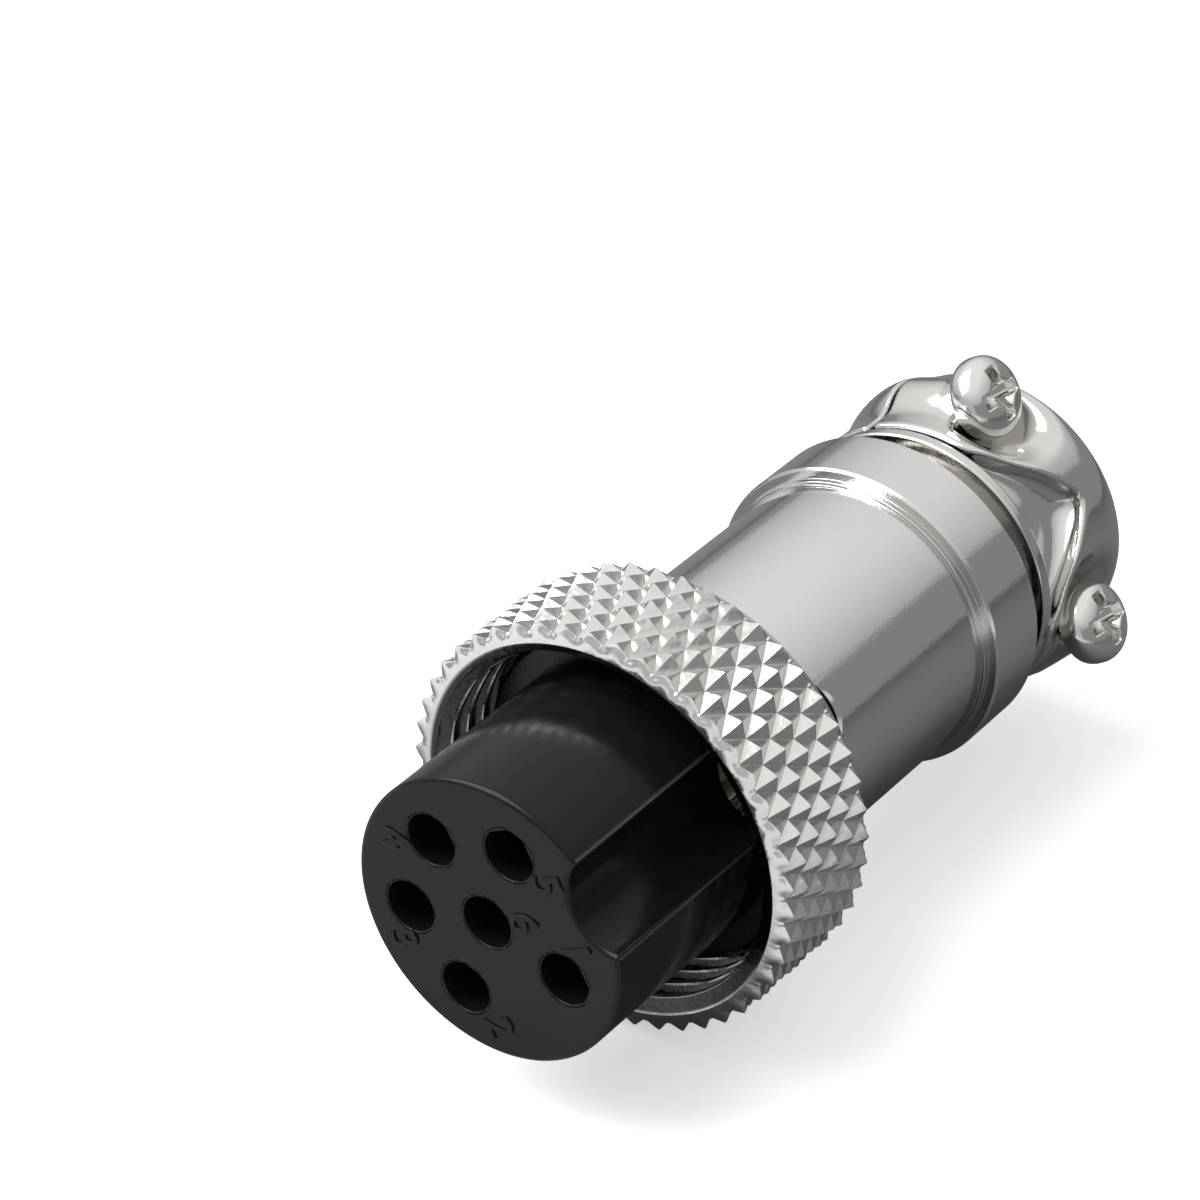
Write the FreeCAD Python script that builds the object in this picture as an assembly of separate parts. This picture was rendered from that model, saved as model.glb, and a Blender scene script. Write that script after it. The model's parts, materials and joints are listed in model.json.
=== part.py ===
import FreeCAD, Part
import math
import os

# Six-way circular cable plug, all sizes in millimetres.
# Frame: the plug axis is +Y, from the mating face at the origin to the cable end, and +Z is up.
# The plug lies on its side, and a clock angle turns from +Z towards +X about the axis.

# Clock angles of the features around the axis
KEY_CLOCK = 61.5
SET_SCREW_CLOCK = 61.0
CLAMP_CLOCK = 57.3

# Insulator
NOSE_R = 6.1
NOSE_LENGTH = 9.7
NOSE_EDGE_FILLET = 0.35
INSULATOR_TAIL_LENGTH = 7.3
KEYWAY_R = 2.15
KEYWAY_DEPTH = 1.55

# Contacts: the five outer ones sit on one circle at these angles from the keyway, the sixth in the centre.
# The wall is what the insulator's tail leaves outside their holes.
CONTACT_WALL = 0.37
OUTER_CONTACT_ANGLES = (45.0, 135.0, 195.0, 255.0, 315.0)
SOCKET_HOLE_R = 1.1
SOCKET_CLEARANCE = 0.12
SOCKET_BORE_R = 0.76
SOCKET_RECESS = 2.0
SOCKET_LENGTH = 6.5
SOCKET_SLIT = 0.3
SOCKET_SLIT_LENGTH = 4.2
CONTACT_SHANK_R = 1.05
SOLDER_CUP_LENGTH = 3.8
SOLDER_CUP_BORE_R = 0.58
SOLDER_CUP_DEPTH = 3.0
SOLDER_CUP_OPENING = 2.2

# Retaining ring: sleeve with a flange in front of the nut's lip
SLEEVE_WALL = 0.4
SLEEVE_LENGTH = 5.6
FLANGE_CLEARANCE = 0.31
FLANGE_THICKNESS = 1.1

# Barrel
BARREL_R = 6.2
BARREL_LENGTH = 17.9
BARREL_FRONT_WALL = 0.6
BARREL_CHAMBER_WALL = 0.75
COLLAR_RISE = 0.6
COLLAR_LENGTH = 3.5
COLLAR_STEP_RISE = 0.14
COLLAR_STEP_LENGTH = 0.3
COLLAR_FRONT_CHAMFER = 0.2
COLLAR_REAR_CHAMFER = 0.45
TAIL_THREAD_WALL = 0.3
TAIL_THREAD_LENGTH = 5.6

# Coupling nut
NUT_SETBACK = 2.7
NUT_LENGTH = 6.2
NUT_WALL = 1.54
NUT_THREAD_HEIGHT = 0.54
NUT_MOUTH_CHAMFER = 0.7
NUT_LIP_LENGTH = 1.1
NUT_RUNNING_CLEARANCE = 0.1
NUT_RELIEF_LENGTH = 0.6
NUT_REAR_CHAMFER = 0.9
KNURL_CREST_R = 9.0
KNURL_DEPTH = 0.45
KNURL_COUNT = 46
KNURL_CLOCK = 4.9
KNURL_ROW_PITCH = 1.03
KNURL_ROWS = 6
KNURL_START = 0.2
KNURL_FRONT_CREST_CUT = 0.17
KNURL_FRONT_GROOVE_CUT = 0.4
KNURL_END_CUT = 0.4
KNURL_END_LENGTH = 0.25

# Set screw in the side of the barrel
SET_SCREW_SETBACK = 2.6
SET_SCREW_HOLE_R = 1.6
SET_SCREW_HEAD_R = 1.5
SET_SCREW_SHANK_R = 0.8
SET_SCREW_SHANK_LENGTH = 1.7
SET_SCREW_SINK = 0.12
SET_SCREW_SLOT = 0.4
SET_SCREW_SLOT_DEPTH = 0.28

# Cable clamp: threaded tail, ring, and two jaws of one outline
CABLE_R = 3.7
CABLE_MOUTH_R = 4.7
CABLE_MOUTH_DEPTH = 0.8
TAIL_BORE_R = 4.7
TAIL_RING_R = 6.25
TAIL_RING_LENGTH = 0.6
TAIL_NECK_R = 5.3
TAIL_NECK_LENGTH = 1.0
THREAD_FIT = 0.05
JAW_LENGTH = 6.05
JAW_LIP_R = 5.5
JAW_NECK_R = 5.05
JAW_NECK_PLACE = 1.2
JAW_FLARE_LENGTH = 3.05
JAW_CROWN_R = 6.3
JAW_REAR_R = 5.7
JAW_REAR_LENGTH = 1.5
JAW_NOTCH_HALF_WIDTH = 3.8
JAW_NOTCH_FRONT = 0.2
SADDLE_GAP = 0.15
SPLIT_HEIGHT = 0.45
SPLIT_GAP = 0.2

# Ears and clamp screws
EAR_SPACING = 10.6
EAR_SETBACK = 3.2
EAR_SPLIT_R = 1.65
EAR_TOP_R = 1.1
EAR_TAPER_TOP = 2.7
EAR_TOP = 3.7
EAR_MIDDLE_R = 1.26
EAR_MIDDLE_HEIGHT = -1.5
EAR_BOTTOM_R = 0.36
EAR_BOTTOM = -3.05
HEAD_POCKET_CLEARANCE = 0.2
HEAD_POCKET_FLARE = 0.9
HEAD_POCKET_DEPTH = 2.2
CLAMP_SCREW_R = 0.7
CLAMP_SCREW_FREE_FIT = 0.1
CLAMP_SCREW_THREAD_FIT = 0.05
CLAMP_SCREW_TIP = -1.8
TAP_BOTTOM = -2.0
HEAD_R = 1.62
HEAD_HEIGHT = 1.45
HEAD_RIM_HEIGHT = 0.5
RECESS_WIDTH = 0.42
RECESS_LENGTH = 2.1
RECESS_DEPTH = 0.75

# Cutting tools run past the faces that they cut by OVERCUT, and sizes closer than SAME_PLACE count as equal
OVERCUT = 1.0
SAME_PLACE = 0.001
FULL_TURN = 360.0

AXIS = FreeCAD.Vector(0, 1, 0)
ORIGIN = FreeCAD.Vector(0, 0, 0)
UP = FreeCAD.Vector(0, 0, 1)


def clocked(shape, clock):
    """The shape turned about the plug axis, from +Z towards +X."""
    turned = shape.copy()
    turned.rotate(ORIGIN, AXIS, clock)
    return turned


def turned_solid(outline):
    """A solid of revolution about the plug axis from (radius, place) corners."""
    corners = [FreeCAD.Vector(radius, place, 0) for radius, place in outline]
    wire = Part.makePolygon(corners + corners[:1])
    return Part.Face(wire).revolve(ORIGIN, AXIS, FULL_TURN)


def rod(radius, start, end, x=0.0, z=0.0):
    """A cylinder along the plug axis."""
    return Part.makeCylinder(radius, end - start, FreeCAD.Vector(x, start, z), AXIS)


def round_edges(shape, radius, keep):
    """The shape with the edges that keep() picks rounded."""
    edges = [edge for edge in shape.Edges if keep(edge)]
    return shape.makeFillet(radius, edges)


def is_ring(edge, radius, place):
    """Whether an edge is a full circle about the plug axis, of this radius, at this place."""
    if not isinstance(edge.Curve, Part.Circle):
        return False
    return max(abs(edge.Curve.Radius - radius), abs(edge.Curve.Center.y - place)) < SAME_PLACE


def sleeve_radius():
    """Outer radius of the retaining ring's sleeve, and of the barrel's bore around it."""
    return BARREL_R - BARREL_FRONT_WALL


def insulator_tail_radius():
    """Radius of the insulator's tail inside the sleeve."""
    return sleeve_radius() - SLEEVE_WALL


def contact_places():
    """The (x, z) centre of each contact, before the keyway is clocked: five on the circle and one in the middle."""
    circle = insulator_tail_radius() - CONTACT_WALL - SOCKET_HOLE_R
    places = []
    for angle in OUTER_CONTACT_ANGLES:
        turn = math.radians(angle)
        places.append((circle * math.sin(turn), circle * math.cos(turn)))
    return places + [(0.0, 0.0)]


def make_insulator():
    """Moulded nose with the keyway, a thinner tail, and a stepped hole for each contact."""
    end = NOSE_LENGTH + INSULATOR_TAIL_LENGTH
    body = rod(NOSE_R, 0.0, NOSE_LENGTH)
    body = round_edges(body, NOSE_EDGE_FILLET, lambda edge: is_ring(edge, NOSE_R, 0.0))
    body = body.fuse(rod(insulator_tail_radius(), NOSE_LENGTH - OVERCUT, end))
    keyway_centre = NOSE_R - KEYWAY_DEPTH + KEYWAY_R
    body = body.cut(rod(KEYWAY_R, -OVERCUT, NOSE_LENGTH, z=keyway_centre))
    for x, z in contact_places():
        body = body.cut(rod(SOCKET_HOLE_R, -OVERCUT, SOCKET_RECESS + SOCKET_LENGTH, x, z))
        body = body.cut(rod(CONTACT_SHANK_R, 0.0, end + OVERCUT, x, z))
    return clocked(body, KEY_CLOCK).cut(set_screw_tool(SET_SCREW_SHANK_R))


def make_contact(x, z):
    """Split socket at the front, plain shank, scooped solder cup at the rear."""
    socket_end = SOCKET_RECESS + SOCKET_LENGTH
    cup_start = NOSE_LENGTH + INSULATOR_TAIL_LENGTH
    end = cup_start + SOLDER_CUP_LENGTH
    body = rod(SOCKET_HOLE_R - SOCKET_CLEARANCE, SOCKET_RECESS, socket_end, x, z)
    body = body.fuse(rod(CONTACT_SHANK_R, socket_end, end, x, z))
    body = body.cut(rod(SOCKET_BORE_R, SOCKET_RECESS - OVERCUT, socket_end - SOCKET_CLEARANCE, x, z))
    body = body.cut(rod(SOLDER_CUP_BORE_R, end - SOLDER_CUP_DEPTH, end + OVERCUT, x, z))
    slit_corner = FreeCAD.Vector(x - SOCKET_SLIT / 2, SOCKET_RECESS - OVERCUT, z - NOSE_R / 2)
    body = body.cut(Part.makeBox(SOCKET_SLIT, SOCKET_SLIT_LENGTH + OVERCUT, NOSE_R, slit_corner))
    scoop_corner = FreeCAD.Vector(x - NOSE_R / 2, end - SOLDER_CUP_OPENING, z)
    body = body.cut(Part.makeBox(NOSE_R, SOLDER_CUP_OPENING + OVERCUT, NOSE_R, scoop_corner))
    return clocked(body, KEY_CLOCK)


def barrel_front():
    """Place of the barrel's front face, behind the flange."""
    return NOSE_LENGTH + FLANGE_THICKNESS


def barrel_end():
    """Place of the barrel's rear face."""
    return barrel_front() + BARREL_LENGTH


def set_screw_place():
    """Place of the set screw's axis."""
    return barrel_front() + SET_SCREW_SETBACK


def nut_front():
    """Place of the nut's front face, around the nose."""
    return NOSE_LENGTH - NUT_SETBACK


def nut_thread_radius():
    """Radius of the crests of the nut's inside thread."""
    return KNURL_CREST_R - NUT_WALL


def set_screw_tool(radius):
    """A radial cylinder on the set screw's axis that reaches from its tip out past the barrel."""
    tip = sleeve_radius() - SET_SCREW_SHANK_LENGTH
    length = BARREL_R - tip + OVERCUT
    base = FreeCAD.Vector(0, set_screw_place(), tip)
    return clocked(Part.makeCylinder(radius, length, base, UP), SET_SCREW_CLOCK)


def make_retaining_ring():
    """Sleeve on the insulator's tail, with the flange that stops the nut."""
    front = NOSE_LENGTH
    flange_r = nut_thread_radius() - FLANGE_CLEARANCE
    inner_r = insulator_tail_radius()
    outline = [
        (inner_r, front),
        (flange_r, front),
        (flange_r, barrel_front()),
        (sleeve_radius(), barrel_front()),
        (sleeve_radius(), barrel_front() + SLEEVE_LENGTH),
        (inner_r, barrel_front() + SLEEVE_LENGTH),
    ]
    return turned_solid(outline).cut(set_screw_tool(SET_SCREW_SHANK_R))


def tail_thread_radius():
    """Radius of the barrel's rear thread, around the clamp's tail."""
    return BARREL_R - TAIL_THREAD_WALL


def make_barrel():
    """Turned tube with a stepped collar, a front bore for the sleeve and a rear bore for the tail."""
    front = barrel_front()
    end = barrel_end()
    sleeve_end = front + SLEEVE_LENGTH
    collar_front = end - COLLAR_LENGTH
    step_front = collar_front - COLLAR_STEP_LENGTH
    thread_front = end - TAIL_THREAD_LENGTH
    collar_r = BARREL_R + COLLAR_RISE
    step_r = BARREL_R + COLLAR_STEP_RISE
    chamber_r = BARREL_R - BARREL_CHAMBER_WALL
    outline = [
        (sleeve_radius(), front),
        (BARREL_R, front),
        (BARREL_R, step_front),
        (step_r, step_front),
        (step_r, collar_front),
        (collar_r - COLLAR_FRONT_CHAMFER, collar_front),
        (collar_r, collar_front + COLLAR_FRONT_CHAMFER),
        (collar_r, end - COLLAR_REAR_CHAMFER),
        (collar_r - COLLAR_REAR_CHAMFER, end),
        (tail_thread_radius(), end),
        (tail_thread_radius(), thread_front),
        (chamber_r, thread_front),
        (chamber_r, sleeve_end),
        (sleeve_radius(), sleeve_end),
    ]
    hole_base = FreeCAD.Vector(0, set_screw_place(), 0)
    hole = Part.makeCylinder(SET_SCREW_HOLE_R, collar_r + OVERCUT, hole_base, UP)
    return turned_solid(outline).cut(clocked(hole, SET_SCREW_CLOCK))


def make_set_screw():
    """Slotted cheese head sunk just below the barrel's surface, on a short shank."""
    seat = sleeve_radius()
    top = BARREL_R - SET_SCREW_SINK
    head = Part.makeCylinder(SET_SCREW_HEAD_R, top - seat, FreeCAD.Vector(0, set_screw_place(), seat), UP)
    tip = FreeCAD.Vector(0, set_screw_place(), seat - SET_SCREW_SHANK_LENGTH)
    shank = Part.makeCylinder(SET_SCREW_SHANK_R, SET_SCREW_SHANK_LENGTH, tip, UP)
    slot_corner = FreeCAD.Vector(-SET_SCREW_SLOT / 2, set_screw_place() - OVERCUT - SET_SCREW_HEAD_R,
                                 top - SET_SCREW_SLOT_DEPTH)
    slot_length = 2 * (SET_SCREW_HEAD_R + OVERCUT)
    slot = Part.makeBox(SET_SCREW_SLOT, slot_length, SET_SCREW_SLOT_DEPTH + OVERCUT, slot_corner)
    return clocked(head.fuse(shank).cut(slot), SET_SCREW_CLOCK)


def knurl_ring(radius_at, place):
    """Points around the nut at half the knurl pitch, with the radius that radius_at(i) gives."""
    points = []
    for i in range(2 * KNURL_COUNT):
        turn = math.pi * i / KNURL_COUNT + math.radians(KNURL_CLOCK)
        radius = radius_at(i)
        points.append(FreeCAD.Vector(radius * math.sin(turn), place, radius * math.cos(turn)))
    return points


def knurl_rows():
    """Rings of points: the scalloped front edge, the rows of pyramid tips and groove crossings, the plain rear."""
    start = nut_front() + KNURL_START
    front_cuts = (KNURL_FRONT_CREST_CUT, KNURL_FRONT_GROOVE_CUT)
    rows = [knurl_ring(lambda i: KNURL_CREST_R - front_cuts[i % 2], nut_front())]
    for j in range(KNURL_ROWS):
        def radius_at(i, row=j):
            """Tips where row and column are both even or both odd, groove crossings between them."""
            return KNURL_CREST_R - KNURL_DEPTH * ((i + row) % 2)
        rows.append(knurl_ring(radius_at, start + j * KNURL_ROW_PITCH))
    knurl_end = start + (KNURL_ROWS - 1) * KNURL_ROW_PITCH
    rows.append(knurl_ring(lambda i: KNURL_CREST_R - KNURL_END_CUT, knurl_end + KNURL_END_LENGTH))
    rows.append(knurl_ring(lambda i: KNURL_CREST_R - NUT_REAR_CHAMFER, nut_front() + NUT_LENGTH))
    return rows


def triangle(a, b, c):
    """A flat three-cornered face."""
    return Part.Face(Part.makePolygon([a, b, c, a]))


def knurled_blank():
    """A closed solid whose side is the crossed-groove knurl: four triangles to each pyramid."""
    rows = knurl_rows()
    count = 2 * KNURL_COUNT
    faces = []
    for j in range(len(rows) - 1):
        for i in range(count):
            k = (i + 1) % count
            a, b, c, d = rows[j][i], rows[j][k], rows[j + 1][k], rows[j + 1][i]
            if (i + j) % 2:
                faces.append(triangle(a, b, d))
                faces.append(triangle(b, c, d))
            else:
                faces.append(triangle(a, b, c))
                faces.append(triangle(a, c, d))
    for ring in (rows[0], rows[-1]):
        faces.append(Part.Face(Part.makePolygon(ring + ring[:1])))
    blank = Part.makeSolid(Part.makeShell(faces))
    if blank.Volume < 0:
        blank.reverse()
    return blank


def make_coupling_nut():
    """Knurled ring, open thread bore at the front, lip at the rear that runs on the barrel."""
    front = nut_front()
    end = front + NUT_LENGTH
    lip_front = end - NUT_LIP_LENGTH
    relief_front = lip_front - NUT_RELIEF_LENGTH
    thread_r = nut_thread_radius()
    major_r = thread_r + NUT_THREAD_HEIGHT
    mouth_r = thread_r + NUT_MOUTH_CHAMFER
    lip_r = BARREL_R + NUT_RUNNING_CLEARANCE
    bore = [
        (0.0, front - OVERCUT),
        (mouth_r, front - OVERCUT),
        (mouth_r, front),
        (thread_r, front + NUT_MOUTH_CHAMFER),
        (thread_r, relief_front),
        (major_r, relief_front),
        (major_r, lip_front),
        (lip_r, lip_front),
        (lip_r, end + OVERCUT),
        (0.0, end + OVERCUT),
    ]
    return knurled_blank().cut(turned_solid(bore))


def tail_ring_end():
    """Place of the rear face of the tail's ring, where the jaws begin."""
    return barrel_end() + TAIL_NECK_LENGTH + TAIL_RING_LENGTH


def ear_place():
    """Place of the ears' and clamp screws' axes."""
    return tail_ring_end() + EAR_SETBACK


def rear_rounding(end):
    """The crown's rear edge, one arc from its cylinder down to the rear face."""
    drop = JAW_CROWN_R - JAW_REAR_R
    bow = math.sqrt(0.5)
    start = FreeCAD.Vector(JAW_CROWN_R, end - JAW_REAR_LENGTH, 0)
    middle = FreeCAD.Vector(JAW_REAR_R + drop * bow, end - JAW_REAR_LENGTH * (1 - bow), 0)
    return start, middle, FreeCAD.Vector(JAW_REAR_R, end, 0)


def jaw_section(front):
    """The clamp's section for given front edges, which end on the crown: crown, rounded rear and cable bore."""
    start = tail_ring_end()
    end = start + JAW_LENGTH
    crown_end, rear_middle, rear_face = rear_rounding(end)
    mouth = FreeCAD.Vector(CABLE_MOUTH_R, end, 0)
    rear_bore = FreeCAD.Vector(CABLE_R, end - CABLE_MOUTH_DEPTH, 0)
    front_bore = FreeCAD.Vector(CABLE_R, start, 0)
    edges = front + [
        Part.LineSegment(front[-1].Vertexes[-1].Point, crown_end).toShape(),
        Part.Arc(crown_end, rear_middle, rear_face).toShape(),
        Part.LineSegment(rear_face, mouth).toShape(),
        Part.LineSegment(mouth, rear_bore).toShape(),
        Part.LineSegment(rear_bore, front_bore).toShape(),
    ]
    return Part.Face(Part.Wire(edges)).revolve(ORIGIN, AXIS, FULL_TURN)


def make_jaw_pair():
    """Both jaws before the split: an hourglass, and a full crown with a V-shaped notch over each jaw's middle."""
    start = tail_ring_end()
    front_bore = FreeCAD.Vector(CABLE_R, start, 0)
    lip = FreeCAD.Vector(JAW_LIP_R, start, 0)
    neck = FreeCAD.Vector(JAW_NECK_R, start + JAW_NECK_PLACE, 0)
    flare_end = FreeCAD.Vector(JAW_CROWN_R, start + JAW_FLARE_LENGTH, 0)
    waist = [Part.LineSegment(front_bore, lip).toShape(), Part.Arc(lip, neck, flare_end).toShape()]
    crown_front = FreeCAD.Vector(JAW_CROWN_R, start, 0)
    crown = jaw_section([Part.LineSegment(front_bore, crown_front).toShape()])
    reach = 2 * JAW_CROWN_R
    corners = [
        (-JAW_NOTCH_HALF_WIDTH, start - OVERCUT),
        (-JAW_NOTCH_HALF_WIDTH, start + JAW_NOTCH_FRONT),
        (0.0, start + JAW_FLARE_LENGTH),
        (JAW_NOTCH_HALF_WIDTH, start + JAW_NOTCH_FRONT),
        (JAW_NOTCH_HALF_WIDTH, start - OVERCUT),
    ]
    notch = Part.makePolygon([FreeCAD.Vector(x, y, -reach) for x, y in corners + corners[:1]])
    notch = Part.Face(notch).extrude(FreeCAD.Vector(0, 0, 2 * reach))
    return jaw_section(waist).fuse(crown.cut(notch))


def half_space(low, high):
    """A box over the whole clamp between two heights above the axis."""
    size = 4 * JAW_CROWN_R
    corner = FreeCAD.Vector(-size / 2, barrel_end() - TAIL_THREAD_LENGTH - OVERCUT, low)
    return Part.makeBox(size, size, high - low, corner)


def on_screw_axis(shape, side):
    """A shape made about the Z axis, moved to a clamp screw's axis."""
    shape.translate(FreeCAD.Vector(side * EAR_SPACING / 2, ear_place(), 0))
    return shape


def screw_tool(side, radius, low, high):
    """A cylinder on a clamp screw's axis."""
    return on_screw_axis(Part.makeCylinder(radius, high - low, FreeCAD.Vector(0, 0, low), UP), side)


def make_upper_ear(side, low):
    """Ear of the near jaw: a taper from the split, then a plain neck under the screw's head."""
    taper = Part.makeCone(EAR_SPLIT_R, EAR_TOP_R, EAR_TAPER_TOP - low, FreeCAD.Vector(0, 0, low), UP)
    neck = Part.makeCylinder(EAR_TOP_R, EAR_TOP - EAR_TAPER_TOP, FreeCAD.Vector(0, 0, EAR_TAPER_TOP), UP)
    return on_screw_axis(taper.fuse(neck), side)


def make_lower_ear(side, high):
    """Ear of the far jaw: a blunt, bulging point below the split."""
    top = FreeCAD.Vector(EAR_SPLIT_R, 0, high)
    middle = FreeCAD.Vector(EAR_MIDDLE_R, 0, EAR_MIDDLE_HEIGHT)
    tip = FreeCAD.Vector(EAR_BOTTOM_R, 0, EAR_BOTTOM)
    base = FreeCAD.Vector(0, 0, EAR_BOTTOM)
    centre = FreeCAD.Vector(0, 0, high)
    edges = [
        Part.Arc(top, middle, tip).toShape(),
        Part.LineSegment(tip, base).toShape(),
        Part.LineSegment(base, centre).toShape(),
        Part.LineSegment(centre, top).toShape(),
    ]
    return on_screw_axis(Part.Face(Part.Wire(edges)).revolve(ORIGIN, UP, FULL_TURN), side)


def make_clamp_body():
    """Threaded tail, ring and far jaw in one casting, with tapped ears."""
    thread_front = barrel_end() - TAIL_THREAD_LENGTH
    ring_front = barrel_end() + TAIL_NECK_LENGTH
    ring_end = tail_ring_end()
    thread_r = tail_thread_radius() - THREAD_FIT
    outline = [
        (TAIL_BORE_R, thread_front),
        (thread_r, thread_front),
        (thread_r, barrel_end()),
        (TAIL_NECK_R, barrel_end()),
        (TAIL_NECK_R, ring_front),
        (TAIL_RING_R, ring_front),
        (TAIL_RING_R, ring_end),
        (CABLE_R, ring_end),
        (TAIL_BORE_R, ring_front),
    ]
    tail = turned_solid(outline)
    low_split = SPLIT_HEIGHT - SPLIT_GAP / 2
    jaw = make_jaw_pair().common(half_space(-2 * JAW_CROWN_R, low_split))
    for side in (-1, 1):
        jaw = jaw.fuse(make_lower_ear(side, low_split))
    jaw = jaw.cut(rod(CABLE_R, ring_end - OVERCUT, ring_end + JAW_LENGTH))
    body = tail.fuse(jaw)
    for side in (-1, 1):
        tap = screw_tool(side, CLAMP_SCREW_R + CLAMP_SCREW_THREAD_FIT, TAP_BOTTOM, low_split + OVERCUT)
        body = body.cut(tap)
    return clocked(body, CLAMP_CLOCK)


def make_clamp_saddle():
    """Near jaw with two ears, and a flared pocket around each screw head."""
    high_split = SPLIT_HEIGHT + SPLIT_GAP / 2
    jaw = make_jaw_pair().common(half_space(high_split, 2 * JAW_CROWN_R))
    for side in (-1, 1):
        jaw = jaw.fuse(make_upper_ear(side, high_split))
    start = tail_ring_end()
    jaw = jaw.cut(rod(CABLE_R, start - OVERCUT, start + JAW_LENGTH))
    jaw = jaw.cut(rod(2 * JAW_CROWN_R, start - OVERCUT, start + SADDLE_GAP))
    for side in (-1, 1):
        floor_r = HEAD_R + HEAD_POCKET_CLEARANCE
        base = FreeCAD.Vector(0, 0, EAR_TOP)
        pocket = Part.makeCone(floor_r, floor_r + HEAD_POCKET_FLARE, HEAD_POCKET_DEPTH, base, UP)
        jaw = jaw.cut(on_screw_axis(pocket, side))
        jaw = jaw.cut(screw_tool(side, CLAMP_SCREW_R + CLAMP_SCREW_FREE_FIT, -OVERCUT, 2 * JAW_CROWN_R))
    return clocked(jaw, CLAMP_CLOCK)


def make_clamp_screw(side):
    """Pan head with a cross recess, on a plain shank of the thread's size."""
    rim = EAR_TOP + HEAD_RIM_HEIGHT
    top = EAR_TOP + HEAD_HEIGHT
    tip = FreeCAD.Vector(0, 0, CLAMP_SCREW_TIP)
    shank = Part.makeCylinder(CLAMP_SCREW_R, EAR_TOP - CLAMP_SCREW_TIP, tip, UP)
    shoulder = FreeCAD.Vector(HEAD_R * math.sqrt(0.5), 0, rim + (top - rim) * math.sqrt(0.5))
    edges = [
        Part.LineSegment(FreeCAD.Vector(0, 0, EAR_TOP), FreeCAD.Vector(HEAD_R, 0, EAR_TOP)).toShape(),
        Part.LineSegment(FreeCAD.Vector(HEAD_R, 0, EAR_TOP), FreeCAD.Vector(HEAD_R, 0, rim)).toShape(),
        Part.Arc(FreeCAD.Vector(HEAD_R, 0, rim), shoulder, FreeCAD.Vector(0, 0, top)).toShape(),
        Part.LineSegment(FreeCAD.Vector(0, 0, top), FreeCAD.Vector(0, 0, EAR_TOP)).toShape(),
    ]
    screw = Part.Face(Part.Wire(edges)).revolve(ORIGIN, UP, FULL_TURN).fuse(shank)
    for length, width in ((RECESS_LENGTH, RECESS_WIDTH), (RECESS_WIDTH, RECESS_LENGTH)):
        corner = FreeCAD.Vector(-length / 2, -width / 2, top - RECESS_DEPTH)
        screw = screw.cut(Part.makeBox(length, width, RECESS_DEPTH + OVERCUT, corner))
    return clocked(on_screw_axis(screw, side), CLAMP_CLOCK)


def make_pieces():
    """Every node of the plug by name."""
    pieces = {
        "insulator": make_insulator(),
        "retaining_ring": make_retaining_ring(),
        "barrel": make_barrel(),
        "set_screw": make_set_screw(),
        "coupling_nut": make_coupling_nut(),
        "clamp_body": make_clamp_body(),
        "clamp_saddle": make_clamp_saddle(),
        "clamp_screw_1": make_clamp_screw(-1),
        "clamp_screw_2": make_clamp_screw(1),
    }
    for number, (x, z) in enumerate(contact_places(), start=1):
        pieces["contact_%d" % number] = make_contact(x, z)
    return pieces


os.makedirs("parts", exist_ok=True)
for name, shape in make_pieces().items():
    shape.exportStep("parts/%s.step" % name)
    print(name, "solids", len(shape.Solids), "valid", shape.isValid(), "volume %.3f" % shape.Volume)
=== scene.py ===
import json
import math

import bmesh
import bpy
import numpy as np
from mathutils import Matrix, Vector
from mathutils.geometry import delaunay_2d_cdt


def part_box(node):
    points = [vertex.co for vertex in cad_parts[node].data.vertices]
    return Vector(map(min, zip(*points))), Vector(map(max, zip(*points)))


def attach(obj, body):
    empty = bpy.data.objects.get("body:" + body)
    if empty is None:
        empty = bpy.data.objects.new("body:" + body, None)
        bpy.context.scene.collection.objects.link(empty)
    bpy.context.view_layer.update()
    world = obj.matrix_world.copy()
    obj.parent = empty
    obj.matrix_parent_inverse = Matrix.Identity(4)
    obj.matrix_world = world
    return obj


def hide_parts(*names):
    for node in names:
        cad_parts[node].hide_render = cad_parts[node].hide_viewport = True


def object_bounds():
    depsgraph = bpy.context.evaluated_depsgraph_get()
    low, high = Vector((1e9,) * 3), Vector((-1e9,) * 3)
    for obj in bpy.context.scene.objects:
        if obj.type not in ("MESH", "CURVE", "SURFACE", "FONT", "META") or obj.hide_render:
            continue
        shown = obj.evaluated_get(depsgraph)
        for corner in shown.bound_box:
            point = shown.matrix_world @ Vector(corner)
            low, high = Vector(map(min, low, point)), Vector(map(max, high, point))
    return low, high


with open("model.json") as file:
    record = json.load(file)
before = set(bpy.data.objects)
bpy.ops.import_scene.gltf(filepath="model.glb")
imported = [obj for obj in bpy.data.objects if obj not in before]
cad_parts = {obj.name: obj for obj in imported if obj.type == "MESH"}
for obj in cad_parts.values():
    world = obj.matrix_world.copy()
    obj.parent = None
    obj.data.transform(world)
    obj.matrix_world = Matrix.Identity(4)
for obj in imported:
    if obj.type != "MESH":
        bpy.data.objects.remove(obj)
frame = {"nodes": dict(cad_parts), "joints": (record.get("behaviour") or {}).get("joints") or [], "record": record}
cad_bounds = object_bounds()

# Lengths below are in millimetres in the plug's frame: +Y from the mating face to the cable end, +Z up.
# The CAD nodes are in metres, and MM turns one into the other.
MM = 0.001
NODES = frame["nodes"]
MOUNTS = {mount["name"]: mount for mount in frame["record"]["mounts"]}
JOINTS = {joint["name"]: joint for joint in frame["joints"]}


def span(node):
    """Lowest and highest corner of a CAD node in millimetres."""
    low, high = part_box(node)
    return np.array(low) / MM, np.array(high) / MM


def clock_of(x, z):
    """Clock angle in degrees of a direction across the axis, from +Z towards +X."""
    return math.degrees(math.atan2(x, z))


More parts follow.
